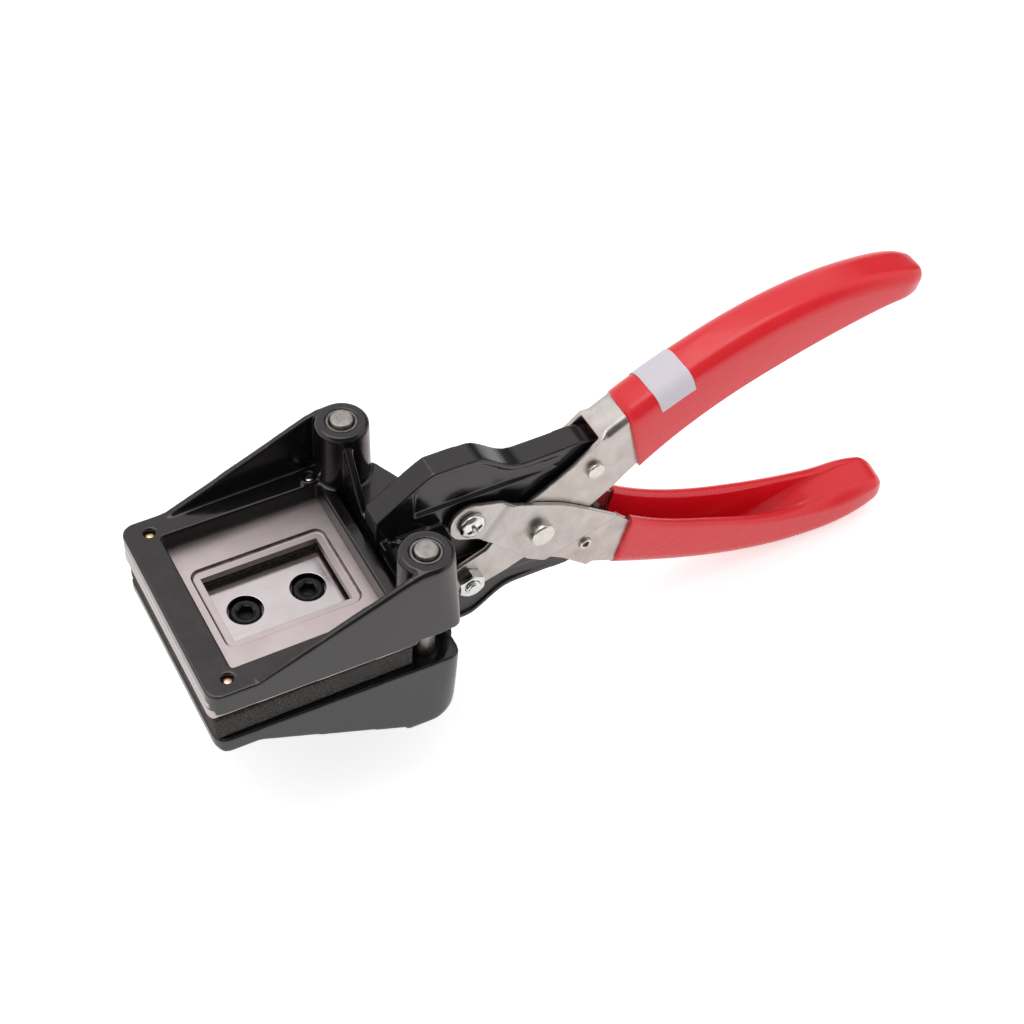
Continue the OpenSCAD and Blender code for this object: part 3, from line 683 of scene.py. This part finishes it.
def ground_block(node, name, material, body, slot, *extra):
    """Ground block: a copy with every edge just broken."""
    obj = node_copy(node, name)
    bevel(obj, width=0.14, segments=2, angle=40)
    join(obj, *extra)
    shade(obj, angle=40)
    even_normals(obj)
    return settle(obj, material, body, slot, node)


def rounded_box(hx, hy, r, z):
    """Outline of a rectangle with round corners at one height."""
    points = []
    for turn, cx, cy in ((0, 1, 1), (90, -1, 1), (180, -1, -1), (270, 1, -1)):
        points += [(x, y, z) for x, y in arc(cx * (hx - r), cy * (hy - r), r, turn, turn + 90, 8)]
    return points


def pocket_fillet():
    """Round that the cutter left between the pocket's floor and its wall."""
    floor_z = 5.6
    half = (18.5, 13.5)
    corner = 2.8
    r = 0.8
    sunk = -0.1
    section = [(r - x, r - y) for x, y in arc(0, 0, r, 0, 90, 6)]
    section += [(r, sunk), (sunk, sunk), (sunk, r)]
    rings = [rounded_box(half[0] - o, half[1] - o, corner - o, floor_z + rise) for o, rise in section]
    return mesh_object("pocket_fillet", *skin(rings, loop=True))


def die_screw(name, x, y, tip, material):
    """Screw from below; only its tip and its flat head show."""
    bottom = 3.6
    head = 2.75
    shank = 1.5
    profile = [
        (ON_AXIS, bottom), (head - 0.15, bottom), (head, bottom + 0.1), (shank, bottom + 1.35),
        (shank, tip - 0.5), (1.1, tip - 0.12), (0.9, tip), (ON_AXIS, tip)
    ]
    obj = turned(name, profile, upright(x, y, 0), 40)
    shade(obj, 35)
    return settle(obj, material, "upper_jaw", "brass_screw", "die_screws")


def cap_screw(name, x):
    """Socket cap screw with a knurled rim and a hexagon socket."""
    top = 0.9
    floor = top - 5.0
    tail = -10.8
    knurls = 36
    segments = knurls * 4

    def knurled(a):
        return 4.2 - 0.13 * (0.5 - 0.5 * math.cos(knurls * a))

    socket = hexagon(3.98)
    profile = [
        (ON_AXIS, tail), (2.2, tail), (2.48, tail + 0.3), (2.48, floor), (4.0, floor),
        (knurled, floor + 0.2), (knurled, top - 0.75), (4.05, top - 0.5), (3.62, top - 0.08),
        (3.5, top), (2.75, top), (2.55, top - 0.12), (socket, top - 0.32),
        (socket, top - 2.5), (ON_AXIS, top - 2.55)
    ]
    obj = turned(name, profile, upright(x, 0, 0), segments)
    shade(obj, 30)
    return settle(obj, OXIDE, "lower_jaw", "black_screw", "punch_screws")


def foam():
    """Sponge pad: the block broken up by open pores, with crumbly edges."""
    obj = node_copy("foam_pad", "foam_sponge")
    recast(obj, voxel=0.55, rounds=4)
    pore = 0.9 * MM
    swell = 7 * MM
    worn = 0.12
    for v in obj.data.vertices:
        depth = noise.voronoi(v.co / pore)[0][0]
        wave = noise.noise(v.co / swell)
        v.co -= v.normal * (0.30 * max(0.0, 0.55 - depth) + 0.10 * wave + worn) * MM
    obj.data.shade_smooth()
    settle(obj, SPONGE, "lower_jaw", "foam", "foam_pad")
    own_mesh(obj)


def spring():
    """Compression spring: two closing curls and seven working curls of round wire."""
    x = 36.0
    low = -11.78
    high = 10.78
    wire = 0.5
    coil = 3.3
    working = 7
    closing_pitch = 1.5
    pitch = (high - low - 2 * wire - 2 * closing_pitch) / working
    per_turn = 32
    sides = 12

    def height(turn):
        middle = min(max(turn - 1, 0), working)
        return closing_pitch * (turn - middle) + pitch * middle

    rings = []
    for i in range((working + 2) * per_turn + 1):
        a = 2 * math.pi * i / per_turn
        z = low + wire + height(i / per_turn)
        ring = []
        for k in range(sides):
            b = 2 * math.pi * k / sides
            r = coil + wire * math.cos(b)
            ring.append((x + r * math.cos(a), r * math.sin(a), z + wire * math.sin(b)))
        rings.append(ring)
    obj = mesh_object("return_coil", *skin(rings))
    shade(obj, 50)
    settle(obj, WIRE, "lower_jaw", "spring_steel", "return_spring")
    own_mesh(obj)


def guide_post(name, node, y):
    """Guide post with a chamfered foot and a rounded top."""
    top = BOSS_TOP + POST_PROUD
    r = 3.0
    profile = [
        (ON_AXIS, -BOSS_TOP), (2.7, -BOSS_TOP), (r, 0.3 - BOSS_TOP), (r, top - 0.4),
        (2.95, top - 0.2), (2.84, top - 0.06), (2.7, top - 0.01), (2.4, top), (ON_AXIS, top)
    ]
    obj = turned(name, profile, upright(POST[0], y, 0), 64)
    shade(obj, 35)
    return settle(obj, POST_STEEL, "lower_jaw", "post_steel", node)


def bush(name, node, y):
    """Plain bush, open at both ends, with its upper edge countersunk."""
    bore = 3.05
    outer = 4.15
    low = 4.8
    profile = [
        (bore, low), (outer - 0.1, low), (outer, low + 0.1), (outer, BOSS_TOP - 0.25),
        (outer - 0.12, BOSS_TOP - 0.12), (bore + 0.5, BOSS_TOP - 0.12), (bore, BOSS_TOP - 0.7)
    ]
    obj = turned(name, profile, upright(POST[0], y, 0), 64, loop=True)
    shade(obj, 35)
    return settle(obj, BUSH_STEEL, "upper_jaw", "post_steel", node)


# Pivots

def cross_cutter(place, top, depth):
    """Tapered cross of a screwdriver recess."""
    turn = math.radians(20)
    reach = 2.3
    half = 0.46
    throat = 0.7
    plan = []
    for quarter in range(4):
        a = math.pi / 2 * quarter + turn
        arm = Vector((math.cos(a), math.sin(a)))
        across = Vector((-arm.y, arm.x))
        plan += [arm * reach - across * half, arm * reach + across * half, (arm + across) * throat]
    rings = []
    for share, height in ((1.05, top + 0.6), (1.0, top - 0.2), (0.72, top - depth)):
        rings.append([place @ Vector((p.x * share, p.y * share, height)) for p in plan])
    return mesh_object("cross_cutter", *skin(rings))


# Height of a pivot nut
NUT_H = 3.2


def pivot_screw(name, node, body, place):
    """Cross-head screw with a domed head and a threaded tail."""
    seat = PIVOT_SEAT
    rim = seat + 0.9
    dome = 1.7
    head = rim + dome
    head_r = 3.8
    tail = -seat - NUT_H - 1.0
    thread = 1.98
    root = 1.68
    pitch = 0.7
    profile = [(ON_AXIS, tail), (1.5, tail), (1.75, tail + 0.25)]
    for i in range(7):
        z = tail + 0.35 + pitch * i
        profile += [(thread, z), (thread, z + 0.12), (root, z + 0.36), (root, z + 0.46)]
    profile += [(thread, tail + 5.6), (thread, seat), (3.6, seat), (head_r, seat + 0.2)]
    profile += [(head_r, rim)]
    profile += [(head_r * math.cos(a), rim + dome * math.sin(a)) for a in
                [math.radians(12 * i) for i in range(1, 8)]]
    profile += [(ON_AXIS, head)]
    obj = turned(name, profile, place, 64)
    cut(obj, cross_cutter(place, head, 1.9))
    shade(obj, 32)
    return settle(obj, ZINC, body, "zinc_screw", node)


def pivot_nut(name, node, body, place):
    """Chamfered hexagon nut."""
    low = PIVOT_SEAT
    high = low + NUT_H
    flat = 3.42
    bore = 2.02
    outline = hexagon(7.0)
    slope = math.tan(math.radians(30))

    def top(a):
        return high - (outline(a) - flat) * slope

    def bottom(a):
        return low + (outline(a) - flat) * slope

    profile = [
        (bore, low + 0.35), (2.4, low), (flat, low), (outline, bottom), (outline, top),
        (flat, high), (2.4, high), (bore, high - 0.35)
    ]
    obj = turned(name, profile, place, 96, loop=True)
    shade(obj, 22)
    return settle(obj, ZINC, body, "zinc_screw", node)


def rivet():
    """Central rivet with a thick flat head on each side."""
    head = 2.6
    radius = 3.6
    near = SHEET_OUT
    far = -SHEET_OUT - 0.15
    profile = [(ON_AXIS, far - head + 0.05), (2.6, far - head + 0.02), (3.1, far - head + 0.1)]
    profile += [(3.42, far - head + 0.28), (radius, far - head + 0.6), (radius, far)]
    profile += [(2.5, far), (2.5, near), (radius, near), (radius, near + head - 0.6)]
    profile += [(3.42, near + head - 0.28), (3.1, near + head - 0.1), (2.6, near + head - 0.02)]
    profile += [(ON_AXIS, near + head)]
    obj = turned("central_rivet", profile, facing_near(RIVET_X, 0, 0), 64)
    shade(obj, 40)
    return settle(obj, RIVET_STEEL, "lower_lever", "rivet_steel", "pivot_rivet")


def slide_pin(name, node, body, place):
    """Slide pin: a flat head at one end, drilled out at the other."""
    seat = SHEET_MID
    head = seat + 1.6
    end = -seat - 0.8
    profile = [(ON_AXIS, 2.2 - seat), (0.9, 2.0 - seat), (1.0, 1.9 - seat), (1.0, end + 0.15)]
    profile += [(1.12, end), (1.6, end), (1.75, end + 0.15), (1.75, seat), (2.5, seat)]
    profile += [(2.6, seat + 0.1), (2.6, head - 0.45), (2.45, head - 0.18), (2.2, head - 0.04)]
    profile += [(ON_AXIS, head)]
    obj = turned(name, profile, place, 48)
    shade(obj, 38)
    return settle(obj, RIVET_STEEL, body, "rivet_steel", node)


# Handles and grips

class Channel:
    """Bent back of a handle: its crown and lip curves, and the ends of its grip.

    bare is the length of sheet in front of the grip, tip the length of the grip's solid end,
    and tip_mid the share of the depth at which that end closes.
    """

    def __init__(self, crown, lip, bare, tip, tip_mid):
        self.crown = crown
        self.lip = lip
        self.start = bare / HANDLE_L
        self.tip = tip
        self.tip_mid = tip_mid

    def down(self, t):
        """Direction from the back to the lip."""
        return (bezier(self.lip, t) - bezier(self.crown, t)).normalized()

    def depth(self, t):
        """Height of the side walls, from the back to the lip."""
        return (bezier(self.lip, t) - bezier(self.crown, t)).length

    def place(self, section, t, lift=0.0, out=0.0):
        """Section points, each a side place and a depth under the back, set in place."""
        d = self.down(t)
        top = bezier(self.crown, t) - lift * d + out * Vector((-d.y, d.x))
        return [(top.x + d.x * s, y, top.y + d.y * s) for y, s in section]


UPPER = Channel(
    crown=[(89.7, 25.0), (118.02, 42.3), (149.96, 54.4), (182.0, 48.0)],
    lip=[(96.0, 5.5), (118.96, 27.3), (149.03, 34.8), (180.04, 39.7)],
    bare=8.4, tip=8.9, tip_mid=0.4
)
LOWER = Channel(
    crown=[(89.7, 25.0), (118.02, 38.5), (149.96, 53.9), (182.0, 52.6)],
    lip=[(96.0, 5.5), (118.96, 25.8), (149.03, 33.7), (180.04, 38.7)],
    bare=9.6, tip=17.85, tip_mid=0.25
)

# Step of the sheet: how far it stands out, the length of its ramps, how far they are softened,
# and for each crease a place on it, its direction in degrees and the side it rises to
STEP = SHEET_OUT - SHEET_MID
RAMP = 2.0
CREASE_SOFT = 0.6
CREASES = (((60.5, -8.9), 124, -1), ((86.0, 10.2), 162, 1))


def under_back(channel, x, z):
    """Place along a channel's back and depth under it, for many points at once."""
    halvings = 30
    low = np.full(len(x), -0.1)
    high = np.full(len(x), 1.1)
    for _ in range(halvings):
        t = (low + high) / 2
        cx, cz = along(channel.crown, t)
        lx, lz = along(channel.lip, t)
        ahead = (x - cx) * (lz - cz) - (z - cz) * (lx - cx) < 0
        low = np.where(ahead, t, low)
        high = np.where(ahead, high, t)
    length = np.hypot(lx - cx, lz - cz)
    return t, ((x - cx) * (lx - cx) + (z - cz) * (lz - cz)) / length


def roll_bends(obj, channel, flip):
    """Rolls the square corners between the back and the sides to a bend in sheet."""
    fade = 0.03
    least = 0.01
    touch = 0.001
    mesh = obj.data
    spots = np.empty(len(mesh.vertices) * 3)
    mesh.vertices.foreach_get("co", spots)
    spots = spots.reshape(-1, 3) / MM
    t, depth = under_back(channel, spots[:, 0], flip * spots[:, 2])
    share = np.clip(t / fade, 0.0, 1.0)
    r = least + (BEND_R - least) * share * share * (3 - 2 * share)
    u = np.abs(spots[:, 1]) - (SHEET_MID - r)
    v = r - depth
    inside = (u > touch) & (v > touch) & (t > 0.0)
    u = u[inside]
    v = v[inside]
    t = t[inside]
    reach = np.maximum(u, v)
    turn = np.where(u >= v, v / u, 2 - u / v) * math.pi / 4
    across = SHEET_MID - r[inside] + reach * np.cos(turn)
    drop = r[inside] - reach * np.sin(turn)
    cx, cz = along(channel.crown, t)
    lx, lz = along(channel.lip, t)
    length = np.hypot(lx - cx, lz - cz)
    spots[inside, 0] = cx + (lx - cx) / length * drop
    spots[inside, 1] = np.sign(spots[inside, 1]) * across
    spots[inside, 2] = flip * (cz + (lz - cz) / length * drop)
    mesh.vertices.foreach_set("co", (spots * MM).ravel())
    mesh.update()


def side_drop(t):
    """How much lower the lip of the stepped side lies than the other lip."""
    front = 1.4
    rear = 2.9
    return front * ease(t / 0.09) + rear * ease((t - 0.4) / 0.4)


def trim_side(obj, channel, flip):
    """Brings the lip of the stepped side down to its own height."""
    mesh = obj.data
    spots = np.array([v.co for v in mesh.vertices]) / MM
    t, depth = under_back(channel, spots[:, 0], flip * spots[:, 2])
    for i in np.nonzero((t > 0) & (t < 1.05) & (flip * spots[:, 1] > 3))[0]:
        place = float(t[i])
        limit = channel.depth(place) - side_drop(place)
        if depth[i] > limit:
            top = bezier(channel.crown, place) + channel.down(place) * limit
            mesh.vertices[i].co.x = top.x * MM
            mesh.vertices[i].co.z = flip * top.y * MM


def step_share(x, z, soft):
    """How far the sheet has stepped out at a place, with its creases softened."""
    share = 1.0
    for spot, turn, way in CREASES:
        a = math.radians(turn)
        n = way * ((z - spot[1]) * math.cos(a) - (x - spot[0]) * math.sin(a))
        rise = min(max((n + RAMP + soft) / (RAMP + 2 * soft), 0.0), 1.0)
        share = min(share, ease(rise) if soft else rise)
    return share


def soften_creases(obj, flip):
    """Turns the straight ramps of the stepped side into smooth bends."""
    for v in obj.data.vertices:
        if flip * v.co.y < (SHEET_IN - 0.4) * MM:
            continue
        x = v.co.x / MM
        z = flip * v.co.z / MM
        v.co.y += flip * STEP * (step_share(x, z, CREASE_SOFT) - step_share(x, z, 0)) * MM


def handle(node, name, body, channel, flip):
    """Sheet handle: rolled bends along its back, soft creases and broken edges."""
    obj = node_copy(node, name)
    recast(obj, voxel=0.25, rounds=5)
    roll_bends(obj, channel, flip)
    trim_side(obj, channel, flip)
    soften_creases(obj, flip)
    thin_out(obj, share=0.2)
    shade(obj, angle=40)
    even_normals(obj)
    return settle(obj, HANDLE_STEEL, body, "handle_steel", node)


# Section of a grip: its coat, half width, the depth of its hollow's roof, the rounds of its near
# and far shoulders, and half the width over which its underside slopes from lip to lip
COAT = 1.2
GRIP_HW = SHEET_MID + COAT
ROOF = COAT + SHEET + 1.0
BACK_R = (4.1, 5.6)
SLOPE_HW = 2.5


def back_path(hw, top):
    """Outer path over the back, from the near wall to the far wall."""
    sides = []
    for r in BACK_R:
        sides.append([(y, top + r - s) for y, s in arc(hw - r, 0, r, 0, 90, 10)])
    return [(-y, s) for y, s in sides[0]] + sides[1][::-1]


def lip_path(h):
    """Path from the far lip through the hollow to the near lip."""
    wall = 3.75
    lip_r = (GRIP_HW - wall) / 2
    corner = 2.8
    half = [(y, h - lip_r + s) for y, s in arc(GRIP_HW - lip_r, 0, lip_r, 0, 180, 12)]
    half += [(wall - 0.06 * i, h - lip_r + (ROOF + corner - h + lip_r) * i / 4) for i in range(1, 4)]
    floor_y = wall - 0.24
    half += [(y, ROOF + corner - s) for y, s in arc(floor_y - corner, 0, corner, 0, 90, 5)]
    half += [((floor_y - corner) * share, ROOF) for share in (0.6, 0.2)]
    return half + [(-y, s) for y, s in reversed(half)]


def round_path(h):
    """The same points on a rounded solid underside."""
    r = 3.4
    points = []
    for y, _ in lip_path(h):
        over = max(0.0, abs(y) - (GRIP_HW - r))
        points.append((y, h - r + math.sqrt(max(r * r - over * over, 0.0))))
    return points


def grip_section(h, hollow, inset, drop, ramp):
    """Closed section across the grip: side place and depth under the back.

    hollow is one for an open channel and zero for a solid grip, drop is how much lower the lip
    of one side lies, and ramp is half the width over which it does.
    """
    back = back_path(GRIP_HW - inset, inset)
    mixed = [
        (a[0], b[1] + (a[1] - b[1]) * hollow) for a, b in zip(lip_path(h), round_path(h))
    ]
    section = list(back)
    for y, s in mixed:
        share = min(max(0.5 + y / (2 * ramp), 0.0), 1.0)
        section.append((y, s - drop * share * max(s - ROOF, 0.0) / (h - ROOF)))
    return section


def even_run(rings, first, last, rounds):
    """Evens out a change of direction along a run of rings."""
    for _ in range(rounds):
        for i in range(first, last):
            beside = zip(rings[i - 1], rings[i], rings[i + 1])
            rings[i] = [tuple((Vector(a) + 2 * Vector(b) + Vector(c)) / 4) for a, b, c in beside]


def grip(name, node, body, channel, flip):
    """Dipped grip: an open channel that closes smoothly into a solid rounded tip."""
    rings = []

    def add(t, hollow, inset):
        ramp = SLOPE_HW + (GRIP_HW - SLOPE_HW) * ease((t - 0.75) / 0.25)
        section = grip_section(channel.depth(t) + 2 * COAT, hollow, inset, side_drop(t), ramp)
        rings.append(channel.place(section, t, COAT))

    first = channel.start
    edge = 0.008
    for ahead, inset in ((0.0, 0.7), (0.003, 0.25), (edge, 0.05)):
        add(first + ahead, 1.0, inset)
    steps = 64
    for i in range(1, steps + 1):
        t = first + edge + (1 - first - edge) * i / steps
        add(t, 1 - ease((t - 0.55) / 0.5), 0.0)
    h = channel.depth(1) + 2 * COAT
    mid = channel.tip_mid * h
    power = 2.7
    tip_steps = 14
    for i in range(1, tip_steps + 1):
        u = math.sin(math.pi / 2 * i / (tip_steps + 0.4))
        k = (1 - u ** power) ** (1 / power)
        section = grip_section(h, 0.03 * (1 - u), 0.0, side_drop(1), GRIP_HW)
        section = [(y * k, mid + (s - mid) * k) for y, s in section]
        rings.append(channel.place(section, 1, COAT, channel.tip * u))
    even_run(rings, first=steps - 12, last=steps + 10, rounds=12)
    verts, faces = skin(rings)
    obj = mesh_object(name, [(x, flip * y, flip * z) for x, y, z in verts], faces)
    shade(obj, 70)
    return settle(obj, GRIP_RED, body, "grip", node)


def label():
    """Bare paper label stuck a little askew over the back of the upper grip."""
    lift = 0.12
    paper_thick = 0.12
    start = 0.1885
    span = 0.1107
    skew = 0.024
    steps = 12
    near_drop = [(-GRIP_HW - lift, 6.0 - 0.3 * i) for i in range(6)]
    far_drop = [(GRIP_HW + lift, BACK_R[1] + 0.15 * i) for i in range(4)]
    section = near_drop + back_path(GRIP_HW + lift, -lift) + far_drop
    n = len(section)
    verts = []
    for i in range(steps + 1):
        for j, point in enumerate(section):
            t = start + span * i / steps - skew * j / (n - 1)
            verts += UPPER.place([point], t, COAT)
    faces = [
        (i * n + j, i * n + j + 1, (i + 1) * n + j + 1, (i + 1) * n + j)
        for i in range(steps) for j in range(n - 1)
    ]
    obj = mesh_object("paper_label", verts, faces)
    thick = obj.modifiers.new("paper", "SOLIDIFY")
    thick.thickness = paper_thick * MM
    thick.offset = 0
    apply_modifiers(obj)
    shade(obj, 50)
    return settle(obj, PAPER, "upper_lever", "label", "size_label")


def build():
    """Every piece of the tool, from the jaws to the grips."""
    low = [lower_corner(side) for side in (-1, 1)]
    low += [panel_end(side, -1) for side in (-1, 1)]
    casting("lower_casting", "lower_jaw_casting", "lower_jaw", (), low)
    high = [shape(side) for shape in (upper_corner, rib_crest) for side in (-1, 1)]
    high += [panel_end(side, 1) for side in (-1, 1)]
    under = [under_boss(side) for side in (-1, 1)]
    casting("upper_casting", "upper_jaw_casting", "upper_jaw", under, high)
    ground_block("die_plate", "die_plate_ground", DIE_STEEL, "upper_jaw", "tool_steel", pocket_fillet())
    ground_block("punch_block", "punch_block_ground", PUNCH_STEEL, "lower_jaw", "tool_steel")
    die_screw("die_screw_front_near", DIE_SCREW_X[0], -DIE_SCREW_Y, 11.3, COPPER)
    die_screw("die_screw_front_far", DIE_SCREW_X[0], DIE_SCREW_Y, 11.3, BRASS)
    die_screw("die_screw_rear_near", DIE_SCREW_X[1], -DIE_SCREW_Y, 12.4, ZINC)
    die_screw("die_screw_rear_far", DIE_SCREW_X[1], DIE_SCREW_Y, 12.4, ZINC)
    cap_screw("punch_screw_front", -CAP_SCREW_X)
    cap_screw("punch_screw_rear", CAP_SCREW_X)
    foam()
    spring()
    guide_post("near_post", "near_guide_post", -POST[1])
    guide_post("far_post", "far_guide_post", POST[1])
    bush("near_post_bush", "near_bush", -POST[1])
    bush("far_post_bush", "far_bush", POST[1])
    upper = facing_near(PIVOT[0], 0, PIVOT[1])
    lower = facing_far(PIVOT[0], 0, -PIVOT[1])
    pivot_screw("upper_cross_screw", "upper_pivot_screw", "upper_jaw", upper)
    pivot_screw("lower_cross_screw", "lower_pivot_screw", "lower_jaw", lower)
    pivot_nut("upper_hex_nut", "upper_pivot_nut", "upper_jaw", facing_far(PIVOT[0], 0, PIVOT[1]))
    pivot_nut("lower_hex_nut", "lower_pivot_nut", "lower_jaw", facing_near(PIVOT[0], 0, -PIVOT[1]))
    rivet()
    slide_pin("upper_pin", "upper_slide_pin", "upper_lever", facing_near(PIN[0], 0, PIN[1]))
    slide_pin("lower_pin", "lower_slide_pin", "lower_lever", facing_far(PIN[0], 0, -PIN[1]))
    handle("upper_handle", "upper_handle_sheet", "upper_lever", UPPER, 1)
    handle("lower_handle", "lower_handle_sheet", "lower_lever", LOWER, -1)
    grip("upper_dip", "upper_grip", "upper_lever", UPPER, 1)
    grip("lower_dip", "lower_grip", "lower_lever", LOWER, -1)
    label()


# Stage

def floor():
    """Level floor just under the lowest point of the object."""
    level = CAD_BOX[0][2] / MM - 0.2
    middle = 80
    reach = 1500
    steps = 8
    verts = [
        (middle + reach * (2 * i / steps - 1), reach * (2 * j / steps - 1), level)
        for i in range(steps + 1) for j in range(steps + 1)
    ]
    n = steps + 1
    faces = [
        (i * n + j, (i + 1) * n + j, (i + 1) * n + j + 1, i * n + j + 1)
        for i in range(steps) for j in range(steps)
    ]
    obj = mesh_object("floor", verts, faces)
    obj.data.materials.append(floor_white())


def camera():
    """Camera of the photo, solved from the mirror-image features of the head."""
    data = bpy.data.cameras.new("camera")
    data.lens = 67.58
    data.sensor_width = 36
    data.clip_start = 0.01
    data.clip_end = 20
    obj = link(bpy.data.objects.new("camera", data))
    right = Vector((0.8790, -0.4734, 0.0568))
    up = Vector((0.3227, 0.6785, 0.6599))
    back = -Vector((0.3509, 0.5617, -0.7492))
    spot = Vector((-111.89, -287.99, 385.70)) * MM
    obj.matrix_world = Matrix((
        (right.x, up.x, back.x, spot.x),
        (right.y, up.y, back.y, spot.y),
        (right.z, up.z, back.z, spot.z),
        (0, 0, 0, 1)
    ))
    bpy.context.scene.camera = obj


def area_light(name, place, aim, size, power):
    """Rectangular lamp turned towards a point; places and sizes in metres."""
    data = bpy.data.lights.new(name, "AREA")
    data.shape = "RECTANGLE"
    data.size = size[0]
    data.size_y = size[1]
    data.energy = power
    obj = link(bpy.data.objects.new(name, data))
    obj.location = place
    obj.rotation_euler = (Vector(aim) - Vector(place)).to_track_quat("-Z", "Y").to_euler()


def dim_towards(tree, direction, first, full, level):
    """One all round, falling to a low level near one direction."""
    coordinates = tree.nodes.new("ShaderNodeTexCoord")
    aim = tree.nodes.new("ShaderNodeVectorMath")
    aim.operation = "DOT_PRODUCT"
    aim.inputs[1].default_value = Vector(direction).normalized()
    tree.links.new(coordinates.outputs["Generated"], aim.inputs[0])
    fall = tree.nodes.new("ShaderNodeMapRange")
    fall.interpolation_type = "SMOOTHSTEP"
    fall.inputs["From Min"].default_value = first
    fall.inputs["From Max"].default_value = full
    fall.inputs["To Min"].default_value = 1.0
    fall.inputs["To Max"].default_value = level
    tree.links.new(aim.outputs["Value"], fall.inputs["Value"])
    return fall.outputs["Result"]


def pair(tree, operation, a, b):
    """Sum, product or other result of two sockets."""
    node = tree.nodes.new("ShaderNodeMath")
    node.operation = operation
    tree.links.new(a, node.inputs[0])
    tree.links.new(b, node.inputs[1])
    return node.outputs[0]


def room(tree, camera_ray):
    """White to the camera; in reflections the room is unlit on the near side and past the grips."""
    near = dim_towards(tree, (-0.15, -0.75, 0.62), 0.55, 0.82, 0.14)
    behind = dim_towards(tree, (0.84, 0.40, 0.36), 0.87, 0.95, 0.2)
    return pair(tree, "MAXIMUM", pair(tree, "MINIMUM", near, behind), camera_ray)


def world():
    """White to the camera and in reflections, softer as a light."""
    scene_world = bpy.data.worlds.new("studio")
    bpy.context.scene.world = scene_world
    scene_world.use_nodes = True
    tree = scene_world.node_tree
    path = tree.nodes.new("ShaderNodeLightPath")
    shown = tree.nodes["Background"]
    shown.inputs["Strength"].default_value = 1.0
    tree.links.new(room(tree, path.outputs["Is Camera Ray"]), shown.inputs["Color"])
    soft = tree.nodes.new("ShaderNodeBackground")
    soft.inputs["Color"].default_value = (1, 1, 1, 1)
    soft.inputs["Strength"].default_value = 0.82
    direct = pair(tree, "MAXIMUM", path.outputs["Is Camera Ray"], path.outputs["Is Glossy Ray"])
    direct = pair(tree, "MAXIMUM", direct, path.outputs["Is Transmission Ray"])
    mix = tree.nodes.new("ShaderNodeMixShader")
    tree.links.new(direct, mix.inputs["Fac"])
    tree.links.new(soft.outputs[0], mix.inputs[1])
    tree.links.new(shown.outputs[0], mix.inputs[2])
    tree.links.new(mix.outputs[0], tree.nodes["World Output"].inputs["Surface"])


def stage():
    """Floor, camera, surroundings and lamp."""
    floor()
    camera()
    world()
    middle = (0.07, 0, 0)
    area_light("top_softbox", place=(-0.1, 0.25, 1.1), aim=middle, size=(0.8, 0.8), power=3.4)
    bpy.context.scene.view_settings.view_transform = "Standard"


build()
stage()
